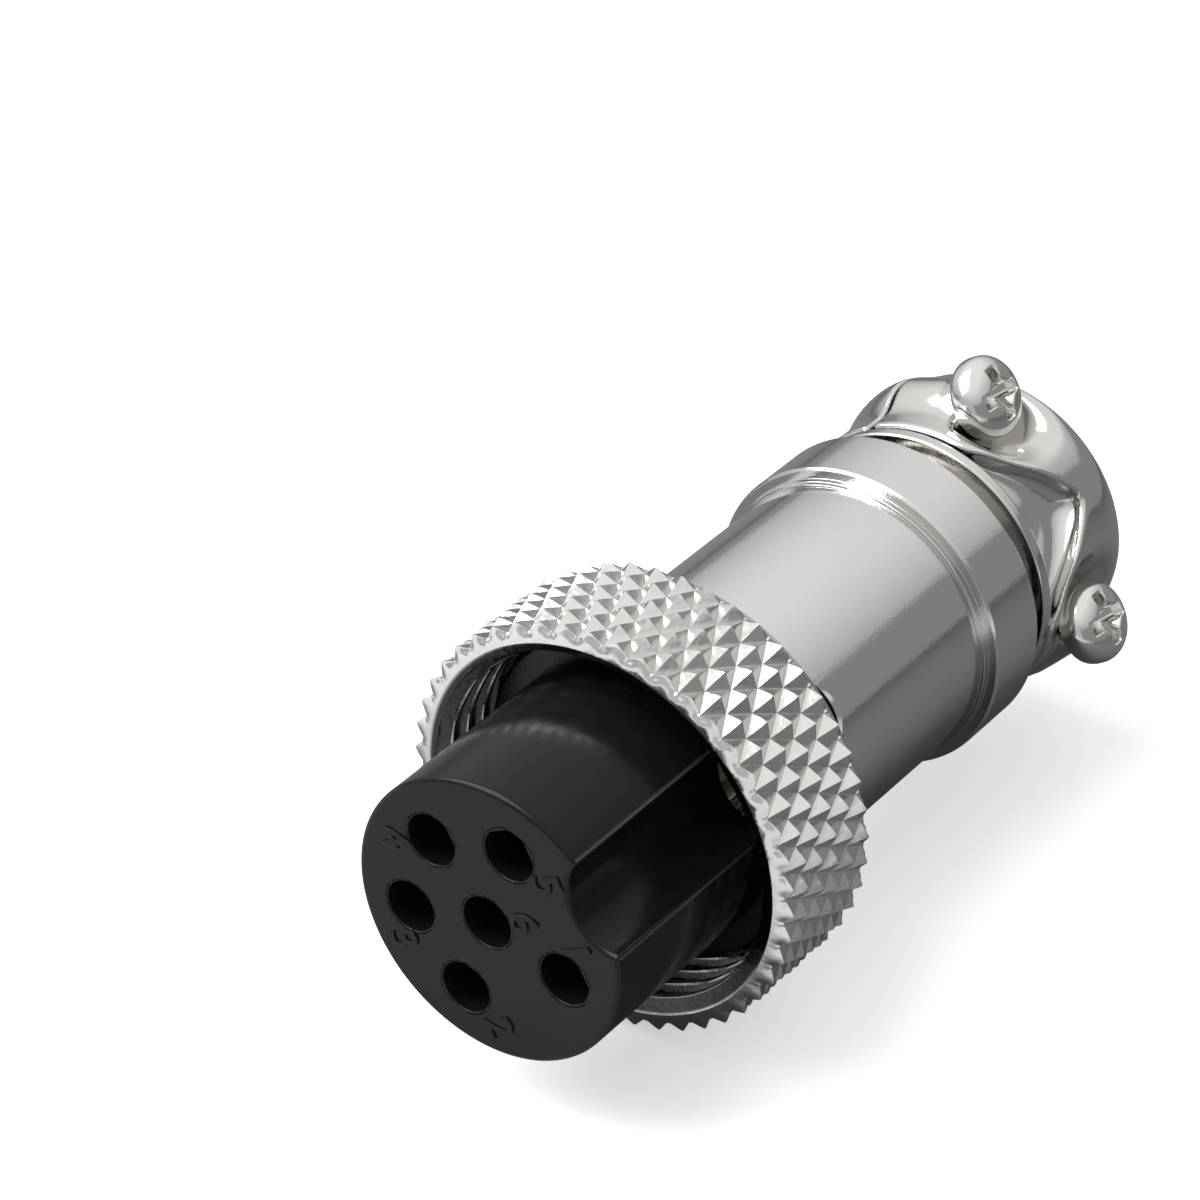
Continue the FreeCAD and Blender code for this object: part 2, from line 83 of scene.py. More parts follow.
# Driving sizes, read from the frame where it holds them
NUT_LOW, NUT_HIGH = span("coupling_nut")
NOSE_LOW = span("insulator")[0]
BARREL_LOW, BARREL_HIGH = span("barrel")
RING_LOW, RING_HIGH = span("retaining_ring")
TAIL_LOW, TAIL_HIGH = span("clamp_body")
NOSE_R = MOUNTS["nose"]["dims"]["r_mm"]
CABLE_R = MOUNTS["cable_clamp"]["dims"]["r_mm"]
SOCKETS = [np.array(MOUNTS["socket_%d" % n]["pos_m"]) / MM for n in range(1, 7)]
LIFT = np.array(JOINTS["saddle_lift"]["axis"])
CLAMP_CLOCK = clock_of(LIFT[0], LIFT[2])
SCREWS = [np.array(JOINTS["screw_%d_turn" % n]["pos_m"]) / MM for n in (1, 2)]

# Insulator
SOCKET_HOLE_R = 1.1
FIRST_SOCKET_ANGLE = 45.0
KEY_CLOCK = clock_of(SOCKETS[0][0], SOCKETS[0][2]) - FIRST_SOCKET_ANGLE
KEYWAY_R = 2.15
KEYWAY_DEPTH = 1.55
KEYWAY_CENTRE = NOSE_R - KEYWAY_DEPTH + KEYWAY_R
KEYWAY_EDGE_R = 0.12
KEYWAY_EDGE_LEAST_R = 0.012
NOSE_EDGE_R = 0.22
# Width of a paler painted highlight along the tip of each keyway edge
KEYWAY_HIGHLIGHT_WIDTH = 0.035
HOLE_EDGE_R = 0.07
# Painted shade in the holes: where their walls start to darken, and over what depth they go dark.
HOLE_PAINTED_SHADE_START = 0.1
HOLE_PAINTED_SHADE_RANGE = 0.6
# Painted shade: the places along the contacts over which they go from black to their own tone
SOCKET_PAINTED_SHADE_RANGE = (8.5, 12.0)
NUMERAL_HEIGHT = 1.35
NUMERAL_RAISE = 0.1
NUMERAL_EDGE = 0.03
DIGIT_SHARE = 0.7
NUMERAL_PLACES = {
    1: (1.51, 3.85), 2: (4.45, -1.86), 3: (0.38, -4.76),
    4: (-3.89, -2.86), 5: (-1.28, 3.85), 6: (0.16, 1.83),
}

# Coupling nut
NUT_FRONT = NUT_LOW[1]
NUT_REAR = NUT_HIGH[1]
KNURL_CREST_R = NUT_HIGH[0]
KNURL_DEPTH = 0.45
KNURL_COUNT = 46
KNURL_CLOCK = 4.9
KNURL_PITCH = 2.06
KNURL_START = 0.2
KNURL_STEPS = 12
KNURL_TIP_CUT = 0.05
KNURL_GROOVE_FLOOR = 0.04
KNURL_REAR_LAND = 0.6
KNURL_FRONT_RISE = 0.85
KNURL_REAR_RISE = 1.6
KNURL_REAR_DROP = 0.4
NUT_FRONT_CREST_R = 8.83
NUT_REAR_R = 8.1
NUT_LIP_GAP = 0.1
NUT_LIP_LENGTH = 1.1
NUT_RELIEF_LENGTH = 0.6
NUT_MOUTH_R = 8.16
NUT_MOUTH_SLOPE = 2.2
NUT_FRONT_BEVEL = 0.18
# Painted shade in the nut's bore: the level its tone falls to on the thread's flanks and roots, and the radii over
# which it rises to full on the crests and at the mouth.
BORE_PAINTED_SHADE = 0.1
BORE_CREST_RANGE = (7.48, 7.55)
BORE_MOUTH_RANGE = (8.04, 8.14)
THREAD_MINOR_R = 7.46
THREAD_MAJOR_R = 8.0
THREAD_PITCH = 1.0
THREAD_CREST_SHARE = 0.25
THREAD_FLANK_SHARE = 0.625
THREAD_ROWS = 82

# Barrel, collar and retaining ring
BARREL_R = 6.2
COLLAR_R = BARREL_HIGH[0]
COLLAR_LENGTH = 3.5
COLLAR_STEP_R = 6.34
COLLAR_STEP_LENGTH = 0.3
BARREL_BORE_R = 5.6
TAIL_THREAD_R = 5.9
TAIL_THREAD_LENGTH = 5.6
SET_SCREW_HOLE_R = 2.05
SET_SCREW_HOLE_EDGE = 0.14
CUTTER_REACH = 2.0
SLEEVE_BORE_R = 5.2
FLANGE_LENGTH = 1.1

# Tail and cable clamp
TAIL_BORE_R = 4.7
TAIL_NECK_R = 5.0
TAIL_THREAD_GAP = 0.05
RING_R = 6.25
RING_PLACE = 1.0
RING_LENGTH = 0.6
JAW_FRONT = BARREL_HIGH[1] + RING_PLACE + RING_LENGTH
JAW_END = TAIL_HIGH[1]
JAW_CROWN_R = 6.3
JAW_REAR_R = 5.7
JAW_REAR_LENGTH = 1.5
JAW_NECK_R = 5.05
JAW_LIP_R = 5.55
JAW_LIP_LENGTH = 1.1
JAW_NOTCH_HALF_WIDTH = 3.8
JAW_NOTCH_DEPTH = 3.4
JAW_NOTCH_START = 0.2
JAW_NOTCH_ROUND = 0.4
EAR_SPLIT_R = 1.65
EAR_TOP_R = 1.1
EAR_TAPER_TOP = 2.7
EAR_TOP = 3.7
EAR_BOTTOM_REACH = 3.9
SPLIT_HEIGHT = 0.45
SPLIT_GAP = 0.2
JAW_CROWN_BLEND = 1.3
JAW_END_BLEND = 0.5
JAW_EAR_BLEND = 0.8
JAW_EDGE_BLEND = 0.15
JAW_MOUTH_FLARE = 1.0
POCKET_GAP = 0.22
POCKET_FLARE = 0.45
JAW_BOX_HALF_WIDTH = 7.2
JAW_BOX_MARGIN = 0.3
JAW_BOX_REACH = 6.7
JAW_GRID_STEP = 0.1

# Clamp screws
SCREW_PLACE = SCREWS[0][1]
SCREW_REACH = float(np.linalg.norm((SCREWS[1] - SCREWS[0])[[0, 2]])) / 2
HEAD_R = 1.78
HEAD_HEIGHT = 1.55
HEAD_MIDDLE = 0.5
HEAD_POWER = 2.5
HEAD_BOX = ((-1.8, -1.8, -0.1), (1.8, 1.8, 1.6))
HEAD_GRID_STEP = 0.045
CROSS_HALF_WIDTH = 0.3
CROSS_REACH = 1.24
CROSS_CONE_R = 0.7
CROSS_FLOOR = 0.55
SCREW_R = 0.7
SCREW_THREAD_DEPTH = 0.15
SCREW_TIP = -1.8
SCREW_TIP_R = 0.4
SCREW_PITCH = 0.3
SCREW_COLUMNS = 48
SCREW_ROWS = 150

# How finely round surfaces are divided
ROUND_STEPS = 224
NOSE_STEPS = 240
KEYWAY_STEPS = 60
KEYWAY_EDGE_STEPS = 8
HOLE_STEPS = 72
ARC_STEPS = 8
SUPPORT = 0.04

# The photo's camera: it looks down on the nose from the right
CAMERA_PLACE = (83.06, -107.61, 104.96)
CAMERA_RIGHT = (0.81023, 0.58610, 0.0)
CAMERA_UP = (-0.32487, 0.44907, 0.83230)
CAMERA_LENS = 137.5
SENSOR = 36.0

# Studio: a floor that is pale to the camera, and to other rays has one tone in front and another behind,
# over a range of Y. Mirrors see a grey room, a ceiling that starts at an edge and brightens upwards, and a
# card in front
FLOOR_HALF_SIZE = 600.0
FLOOR_PALE = 0.95
FLOOR_TONES = (0.7, 0.19)
FLOOR_CHANGE = (-6.0, 6.0)
FLOOR_GLOW = 0.5
ROOM_GREY = 0.32
CEILING_TILT = -0.224
CEILING_EDGE = (0.26, 0.285)
CEILING_LOW = 0.57
CEILING_RISE = 0.5
CEILING_TOP = 0.75
CARD_TONE = 0.6
CARD_EDGE = (-0.8, -0.6)
ROOM_FILL = 0.5
LIGHT_PLACE = (-120.0, -60.0, 200.0)
LIGHT_TARGET = (0.0, 15.0, 0.0)
LIGHT_SIZE = 240.0
LIGHT_POWER = 0.9


def add_object(name, data):
    """A new object in the scene around a mesh, a text, a light or a camera."""
    made = bpy.data.objects.new(name, data)
    bpy.context.scene.collection.objects.link(made)
    return made


def finish_piece(name, points, faces, body, replaced=(), sharp=None):
    """A mesh piece from an array of points in millimetres and an array or list of faces."""
    mesh = bpy.data.meshes.new(name)
    corners = (np.asarray(points, float) * MM).tolist()
    mesh.from_pydata(corners, [], [tuple(int(i) for i in face) for face in faces])
    mesh.validate()
    mesh.update()
    mesh.shade_smooth()
    if sharp is not None:
        mesh.set_sharp_from_angle(angle=math.radians(sharp))
    piece = add_object(name, mesh)
    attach(piece, body)
    if replaced:
        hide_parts(*replaced)
    return piece


def grid_faces(rows, columns, loop_rows, loop_columns):
    """Quads between neighbouring rows and columns of a grid of points, closed on itself where asked."""
    r = np.arange(rows if loop_rows else rows - 1)
    c = np.arange(columns if loop_columns else columns - 1)
    r, c = np.meshgrid(r, c, indexing="ij")
    r2, c2 = (r + 1) % rows, (c + 1) % columns
    quads = np.stack([r * columns + c, r * columns + c2, r2 * columns + c2, r2 * columns + c], axis=-1)
    return quads.reshape(-1, 4)


def outward(points, faces):
    """The faces turned so that the closed surface's volume, the sum of a.(b x c) over its triangles,
    is positive."""
    a, b, c, d = (points[faces[:, k]] for k in range(4))
    volume = np.einsum("ij,ij->", a, np.cross(b, c)) + np.einsum("ij,ij->", a, np.cross(c, d))
    return faces[:, ::-1] if volume < 0 else faces


def around(radius, place, steps=ROUND_STEPS):
    """Points x = r sin a, y = place, z = r cos a at clock angles a, for rows of radii and places."""
    turn = np.linspace(0.0, 2 * np.pi, steps, endpoint=False)
    radius = np.broadcast_to(np.asarray(radius, float).reshape(len(place), -1), (len(place), steps))
    x = radius * np.sin(turn)
    z = radius * np.cos(turn)
    y = np.broadcast_to(np.asarray(place, float).reshape(-1, 1), x.shape)
    return np.stack([x, y, z], axis=-1).reshape(-1, 3)


def rounded_section(corners):
    """A closed (radius, place) outline whose corners are arcs of the given radius, each with a support point
    just outside it, so that long straight faces stay flat to the light."""
    count = len(corners)
    outline = []
    for k in range(count):
        here = np.array(corners[k][:2], float)
        before = np.array(corners[k - 1][:2], float)
        after = np.array(corners[(k + 1) % count][:2], float)
        size = corners[k][2]
        back = (before - here) / np.linalg.norm(before - here)
        ahead = (after - here) / np.linalg.norm(after - here)
        half = math.acos(float(np.clip(np.dot(back, ahead), -1, 1))) / 2
        reach = size / math.tan(half)
        middle = (back + ahead) / np.linalg.norm(back + ahead)
        centre = here + middle * size / math.sin(half)
        start, end = here + back * reach, here + ahead * reach
        first = start - centre
        last = end - centre
        sweep = math.pi - 2 * half
        blend = np.linspace(0.0, 1.0, ARC_STEPS + 1)[:, None]
        arc = centre + (np.sin((1 - blend) * sweep) * first + np.sin(blend * sweep) * last) / math.sin(sweep)
        support = min(size, SUPPORT)
        outline.append(start + back * support)
        outline.extend(arc)
        outline.append(end + ahead * support)
    return np.array(outline)


def lathe(name, corners, body, replaced=()):
    """A ring: the rounded section turned once about the plug axis."""
    outline = rounded_section(corners)
    points = around(outline[:, 0], outline[:, 1])
    faces = outward(points, grid_faces(len(outline), ROUND_STEPS, True, True))
    return finish_piece(name, points, faces, body, replaced)


def clock_points(points, clock):
    """Points turned about the plug axis by a clock angle in degrees."""
    turn = math.radians(clock)
    x, y, z = points.T
    cosine, sine = math.cos(turn), math.sin(turn)
    return np.stack([x * cosine + z * sine, y, z * cosine - x * sine], axis=-1)


def smooth_min(a, b, size):
    """The lesser of two fields, blended over a width: min(a, b) - h^2 size / 4, where h is the part of the
    width that |a - b| leaves, and at least 0."""
    h = np.maximum(size - np.abs(a - b), 0.0) / size
    return np.minimum(a, b) - h * h * size / 4


def smooth_max(a, b, size):
    """The greater of two fields, blended over a width."""
    return -smooth_min(-a, -b, size)


def surface_of(field, low, high, step):
    """The surface where field(x, y, z) is 0, as quads: one point in each cell of a cubic grid that the
    surface crosses, at the mean of its edge crossings, then moved onto the surface along the field's
    gradient."""
    axes = [np.arange(low[k], high[k] + step, step) for k in range(3)]
    grid = np.stack(np.meshgrid(*axes, indexing="ij"), axis=-1)
    value = field(grid[..., 0], grid[..., 1], grid[..., 2])
    inside = value < 0
    shape = tuple(n - 1 for n in value.shape)
    total = np.zeros(shape + (3,))
    hits = np.zeros(shape)
    offsets = [(i, j, k) for i in (0, 1) for j in (0, 1) for k in (0, 1)]
    for start in offsets:
        for axis in range(3):
            if start[axis]:
                continue
            end = tuple(start[m] + (m == axis) for m in range(3))
            a = tuple(slice(start[m], start[m] + shape[m]) for m in range(3))
            b = tuple(slice(end[m], end[m] + shape[m]) for m in range(3))
            crossed = inside[a] != inside[b]
            share = np.where(crossed, value[a] / np.where(crossed, value[a] - value[b], 1.0), 0.0)
            for m in range(3):
                total[..., m] += crossed * (start[m] + (share if m == axis else 0.0))
            hits += crossed
    cells = hits > 0
    number = np.full(shape, -1)
    number[cells] = np.arange(cells.sum())
    base = np.argwhere(cells)
    points = (base + total[cells] / hits[cells][:, None]) * step + np.array([a[0] for a in axes])
    quads = []
    for axis in range(3):
        u, v = [m for m in range(3) if m != axis]
        a = [slice(None)] * 3
        b = [slice(None)] * 3
        a[axis], b[axis] = slice(0, -1), slice(1, None)
        at = np.argwhere(inside[tuple(a)] != inside[tuple(b)])
        at = at[(at[:, u] > 0) & (at[:, v] > 0) & (at[:, u] < shape[u]) & (at[:, v] < shape[v])]
        if not len(at):
            continue
        unit_u, unit_v = np.eye(3, dtype=int)[u], np.eye(3, dtype=int)[v]
        ring = [at - unit_u - unit_v, at - unit_v, at, at - unit_u]
        quad = np.stack([number[tuple(cell.T)] for cell in ring], axis=-1)
        flip = inside[tuple(at.T)] == (axis == 1)
        quad[flip] = quad[flip][:, ::-1]
        quads.append(quad)
    faces = np.concatenate(quads)
    small = step * 0.1
    shifts = small * np.eye(3)
    for _ in range(3):
        here = field(*points.T)
        rises = [field(*(points + shift).T) - field(*(points - shift).T) for shift in shifts]
        slope = np.stack(rises, axis=-1) / (2 * small)
        move = here / np.maximum((slope ** 2).sum(axis=-1), 0.25)
        points -= np.clip(move, -step, step)[:, None] * slope
    return points, outward(points, faces)


def keyway_corner(nose, key, small):
    """Centre (x, z) of the small arc that touches the nose circle from within and the keyway circle from
    outside: its distances from their centres are nose - small and key + small."""
    a, b = nose - small, key + small
    z = (a * a - b * b + KEYWAY_CENTRE * KEYWAY_CENTRE) / (2 * KEYWAY_CENTRE)
    return math.sqrt(a * a - z * z), z


def keyed_outline(inset):
    """The nose's outline moved in by an inset, in the (x, z) plane with the keyway at the top: the nose
    circle of radius R - inset, the keyway circle of radius K + inset, and small arcs that are tangent to
    both."""
    small = max(KEYWAY_EDGE_R - inset, KEYWAY_EDGE_LEAST_R)
    nose, key = NOSE_R - inset, KEYWAY_R + inset
    x, z = keyway_corner(nose, key, small)
    outer, keyed = math.atan2(x, z), math.atan2(x, KEYWAY_CENTRE - z)
    wide = np.linspace(outer, 2 * math.pi - outer, NOSE_STEPS)
    circle = np.stack([np.sin(wide), np.cos(wide)], axis=-1) * nose
    blend = np.linspace(0.0, 1.0, KEYWAY_EDGE_STEPS)[1:-1, None]
    fan = (1 - blend) * np.array([-math.sin(outer), math.cos(outer)])
    fan = fan + blend * np.array([math.sin(keyed), math.cos(keyed)])
    fan /= np.linalg.norm(fan, axis=1)[:, None]
    left = np.array([-x, z]) + fan * small
    sweep = np.linspace(-keyed, keyed, KEYWAY_STEPS)
    groove = np.array([0.0, KEYWAY_CENTRE]) + np.stack([np.sin(sweep), -np.cos(sweep)], axis=-1) * key
    return np.concatenate([circle, left, groove, left[::-1] * np.array([-1, 1])])


def rounded_walls(outline, edge, start, end):
    """Rows of points from the flat face over a rounded edge and down a wall, where outline gives the points
    of an inset: the edge has insets e (1 - sin a) and depths e (1 - cos a), and a support row on each side
    keeps the face and the wall flat to the light."""
    turn = np.linspace(0.0, math.pi / 2, ARC_STEPS + 1)
    insets = [edge + SUPPORT, *(edge * (1 - np.sin(turn))), 0.0, 0.0]
    depths = [start, *(start + edge * (1 - np.cos(turn)))]
    depths += [depths[-1] + 0.05, end]
    rows = []
    for inset, depth in zip(insets, depths):
        flat = outline(inset)
        rows.append(np.stack([flat[:, 0], np.full(len(flat), depth), flat[:, 1]], axis=-1))
    return np.stack(rows)


def hole_outline(centre):
    """The outline of a socket hole as a function of its inset, which is how much wider it is."""
    turn = np.linspace(0.0, 2 * np.pi, HOLE_STEPS, endpoint=False)
    ring = np.stack([np.sin(turn), np.cos(turn)], axis=-1)
    return lambda inset: centre + ring * (SOCKET_HOLE_R + inset)


def flat_faces(points, loops, holes, facing):
    """Triangles over a flat end of the nose, between the loop of its outline and those of its holes, turned
    so that they face along Y by the given sign."""
    ids = np.concatenate(loops)
    edges = []
    first = 0
    for loop in loops:
        count = len(loop)
        edges += [(first + k, first + (k + 1) % count) for k in range(count)]
        first += count
    flat = [Vector(spot) for spot in points[ids][:, [0, 2]]]
    spots, _, triangles, origin = delaunay_2d_cdt(flat, edges, [], 1, 1e-7)[:4]
    spots = np.array([tuple(spot) for spot in spots])
    faces = []
    for triangle in triangles:
        middle = spots[list(triangle)].mean(axis=0)
        in_hole = np.linalg.norm(holes - middle, axis=1).min() < SOCKET_HOLE_R
        in_keyway = np.linalg.norm(middle - [0, KEYWAY_CENTRE]) < KEYWAY_R
        if in_hole or in_keyway:
            continue
        corners = [ids[origin[v][0]] for v in triangle]
        a, b, c = points[corners]
        faces.append(corners if np.cross(b - a, c - a)[1] * facing > 0 else corners[::-1])
    return faces


def mark(piece, name, values):
    """A mask over a piece's points, which its material reads."""
    mask = piece.data.attributes.new(name, "FLOAT", "POINT")
    mask.data.foreach_set("value", values.astype(np.float32))


def make_nose():
    """Insulator: a prism with the keyed outline and six holes, each edge of its face rounded. One mask paints
    shade into the holes as they go in, and one marks a painted highlight along the keyway's edges."""
    front, end = NOSE_LOW[1], RING_LOW[1]
    holes = clock_points(np.array(SOCKETS), -KEY_CLOCK)[:, [0, 2]]
    walls = [rounded_walls(keyed_outline, NOSE_EDGE_R, front, end)]
    walls += [rounded_walls(hole_outline(centre), HOLE_EDGE_R, front, end) for centre in holes]
    faces, front_loops, end_loops = [], [], []
    offset = 0
    for wall in walls:
        rows, columns = wall.shape[:2]
        quads = grid_faces(rows, columns, False, True) + offset
        faces.extend(quads if offset == 0 else quads[:, ::-1])
        front_loops.append(np.arange(columns) + offset)
        offset += rows * columns
        end_loops.append(np.arange(columns) + offset - columns)
    points = np.concatenate([wall.reshape(-1, 3) for wall in walls])
    faces += flat_faces(points, front_loops, holes, -1)
    faces += flat_faces(points, end_loops, holes, 1)
    turned = clock_points(points, KEY_CLOCK)
    nose = finish_piece("nose", turned, faces, "shell", ("insulator",), sharp=40)
    flat_normals(nose)
    x, y, z = points.T
    from_hole = np.min([np.hypot(x - centre[0], z - centre[1]) for centre in holes], axis=0)
    # Painted shade: the holes' walls darken as they go in.
    depth = np.clip((y - HOLE_PAINTED_SHADE_START) / HOLE_PAINTED_SHADE_RANGE, 0.0, 1.0)
    mark(nose, "recess", depth * (from_hole < SOCKET_HOLE_R + 0.02))
    # Painted highlight: a thin paler line along the tip of each keyway edge.
    corner = np.array(keyway_corner(NOSE_R, KEYWAY_R, KEYWAY_EDGE_R))
    tip = corner * (1 + KEYWAY_EDGE_R / np.linalg.norm(corner))
    mark(nose, "painted_edge_highlight", np.hypot(np.abs(x) - tip[0], z - tip[1]) < KEYWAY_HIGHLIGHT_WIDTH)


def flat_normals(piece):
    """Area-weighted corner normals, so that small rounded edges don't tilt the flat faces beside them."""
    weighted = piece.modifiers.new("weighted", "WEIGHTED_NORMAL")
    weighted.keep_sharp = True


def make_numerals():
    """Raised numerals beside the holes, upright when the keyway is on top, at places (x, z) from the axis. The
    font's digits are a fixed share of its size high."""
    upright = Matrix.Rotation(math.radians(90), 4, "X")
    keyed = Matrix.Rotation(math.radians(KEY_CLOCK), 4, "Y")
    for number, (x, z) in NUMERAL_PLACES.items():
        name = "numeral_%d" % number
        text = bpy.data.curves.new(name, "FONT")
        text.body = str(number)
        text.size = NUMERAL_HEIGHT * MM / DIGIT_SHARE
        text.align_x, text.align_y = "CENTER", "CENTER"
        text.extrude = NUMERAL_RAISE * MM / 2
        text.bevel_depth = NUMERAL_EDGE * MM
        text.bevel_resolution = 2
        draft = add_object("numeral_draft", text)
        mesh = bpy.data.meshes.new_from_object(draft)
        bpy.data.objects.remove(draft)
        mesh.transform(Matrix.Translation((x * MM, NOSE_LOW[1] * MM, z * MM)) @ upright)
        mesh.transform(keyed)
        mesh.name = name
        piece = add_object(name, mesh)
        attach(piece, "shell")


def knurl_height(turn, place):
    """Height of the crossed-groove knurl from 0 in a groove to 1 at a tip: 1 - 2 max(A, B), where A and B
    are the distances of u + v and u - v from whole numbers, and u and v count pyramids around and along."""
    u = turn * KNURL_COUNT / (2 * np.pi)
    v = (place - NUT_FRONT - KNURL_START) / KNURL_PITCH
    a, b = u + v, u - v
    height = 1 - 2 * np.maximum(np.abs(a - np.round(a)), np.abs(b - np.round(b)))
    return np.clip(height, KNURL_GROOVE_FLOOR, 1 - KNURL_TIP_CUT)


def thread_radius(turn, place):
    """Inside thread of 60 degrees, one pitch a turn: crest flats of a quarter pitch, root flats of half that."""
    phase = place / THREAD_PITCH - turn / (2 * np.pi)
    wave = 2 * np.abs(phase - np.round(phase))
    rise = np.clip((wave - THREAD_CREST_SHARE) / THREAD_FLANK_SHARE, 0.0, 1.0)
    return THREAD_MINOR_R + (THREAD_MAJOR_R - THREAD_MINOR_R) * rise


def knurl_triangles(columns, rows):
    """Triangles between the rows of the knurl's grid, each cell split along the groove's way through it."""
    r, c = np.meshgrid(np.arange(rows - 1), np.arange(columns), indexing="ij")
    c2 = (c + 1) % columns
    a, b, d, e = r * columns + c, r * columns + c2, (r + 1) * columns + c2, (r + 1) * columns + c
    half = KNURL_STEPS // 2
    along = ((c // half + r // half) % 2 == 0)[..., None]
    one = np.where(along, np.stack([a, b, e], axis=-1), np.stack([a, b, d], axis=-1))
    two = np.where(along, np.stack([b, d, e], axis=-1), np.stack([a, d, e], axis=-1))
    return np.concatenate([one.reshape(-1, 3), two.reshape(-1, 3)])


def make_nut():
    """Coupling nut: one closed section of rows, each a radius for every angle around the axis, with the
    knurl's grid on the outside and the thread inside."""
    columns = KNURL_COUNT * KNURL_STEPS
    turn = np.linspace(0.0, 2 * np.pi, columns, endpoint=False)
    lip_r = BARREL_R + NUT_LIP_GAP
    lip_front = NUT_REAR - NUT_LIP_LENGTH
    relief = lip_front - NUT_RELIEF_LENGTH
    knurl_end = NUT_REAR - KNURL_REAR_LAND
    side = np.arange(NUT_FRONT + KNURL_START, knurl_end, KNURL_PITCH / KNURL_STEPS)[:, None]
    crest = KNURL_CREST_R - KNURL_DEPTH * (1 - knurl_height(turn[None], side))
    crest = np.minimum(crest, NUT_FRONT_CREST_R + (side - NUT_FRONT) * KNURL_FRONT_RISE)
    crest = np.minimum(crest, KNURL_CREST_R - KNURL_REAR_DROP + (knurl_end - side) * KNURL_REAR_RISE)
    # After the knurl: the rear land with its edge, the rear face, the lip's bore, its front face, the relief
    sections = [(side, crest)]
    for radii, places in (
            ((KNURL_CREST_R - 0.42, NUT_REAR_R + 0.05, NUT_REAR_R), (knurl_end, NUT_REAR - 0.05, NUT_REAR)),
            ((NUT_REAR_R - 0.06, lip_r + 0.12), (NUT_REAR, NUT_REAR)),
            ((lip_r + 0.03, lip_r), (NUT_REAR - 0.03, NUT_REAR - 0.12)),
            ((lip_r, lip_r + 0.05, THREAD_MAJOR_R), (lip_front + 0.05, lip_front, lip_front)),
            ((THREAD_MAJOR_R,), (relief,))):
        sections.append((np.array(places)[:, None], np.array(radii)[:, None] + 0 * turn[None]))
    # Then the thread out to the flared mouth, and the front face, bevelled by the square of the way across it
    inside = np.linspace(relief, NUT_FRONT + 0.02, THREAD_ROWS)[:, None]
    bore = np.maximum(thread_radius(turn[None], inside), NUT_MOUTH_R - (inside - NUT_FRONT) * NUT_MOUTH_SLOPE)
    sections.append((inside, bore))
    edge = np.minimum(KNURL_CREST_R - KNURL_DEPTH * (1 - knurl_height(turn, NUT_FRONT)), NUT_FRONT_CREST_R)
    across = np.array([0.02, 0.2, 0.4, 0.6, 0.8, 1.0])[:, None]
    face = bore[-1] + 0.02 + across * (edge - 0.03 - bore[-1])
    sections.append((NUT_FRONT + NUT_FRONT_BEVEL * across ** 2, face))
    place = np.concatenate([np.broadcast_to(y, (len(r), 1)) for y, r in sections])
    radius = np.concatenate([r for y, r in sections])
    points = clock_points(around(radius, place[:, 0], columns), KNURL_CLOCK)
    # The knurl's own rows are triangles, and the other rows stay quads
    quads = grid_faces(len(radius), columns, True, True)
    row = quads.min(axis=1) // columns
    wraps = (quads.max(axis=1) // columns) - row > 1
    rest = quads[wraps | (row >= len(side) - 1)]
    knurl = knurl_triangles(columns, len(side))
    if outward(points, quads)[0][0] != quads[0][0]:
        rest, knurl = rest[:, ::-1], knurl[:, ::-1]
    faces = [*rest, *knurl]
    finish_piece("knurled_nut", points, faces, "nut", ("coupling_nut",), sharp=24)


def hole_cutter(place, clock):
    """A rod with a wider head, which cuts the set screw's hole with a bevelled rim: four rings of points
    (r cos a, r sin a, height), turned to a place and a clock angle on the barrel."""
    wide = SET_SCREW_HOLE_R + 2 * SET_SCREW_HOLE_EDGE
    radii = np.array([SET_SCREW_HOLE_R, SET_SCREW_HOLE_R, wide, wide])[:, None]
    heights = np.array([-CUTTER_REACH, -SET_SCREW_HOLE_EDGE, SET_SCREW_HOLE_EDGE, CUTTER_REACH])[:, None]
    turn = np.linspace(0.0, 2 * np.pi, HOLE_STEPS, endpoint=False)[None]
    x, y = radii * np.cos(turn), radii * np.sin(turn)
    points = np.stack([x, y, np.broadcast_to(heights, x.shape)], axis=-1).reshape(-1, 3) * MM
    faces = grid_faces(4, HOLE_STEPS, False, True).tolist()
    faces += [list(range(HOLE_STEPS))[::-1], list(range(3 * HOLE_STEPS, 4 * HOLE_STEPS))]
    mesh = bpy.data.meshes.new("hole_cutter")
    mesh.from_pydata(points.tolist(), [], faces)
    mesh.transform(Matrix.Translation((0, place * MM, BARREL_R * MM)))
    mesh.transform(Matrix.Rotation(math.radians(clock), 4, "Y"))
    return add_object("hole_cutter", mesh)


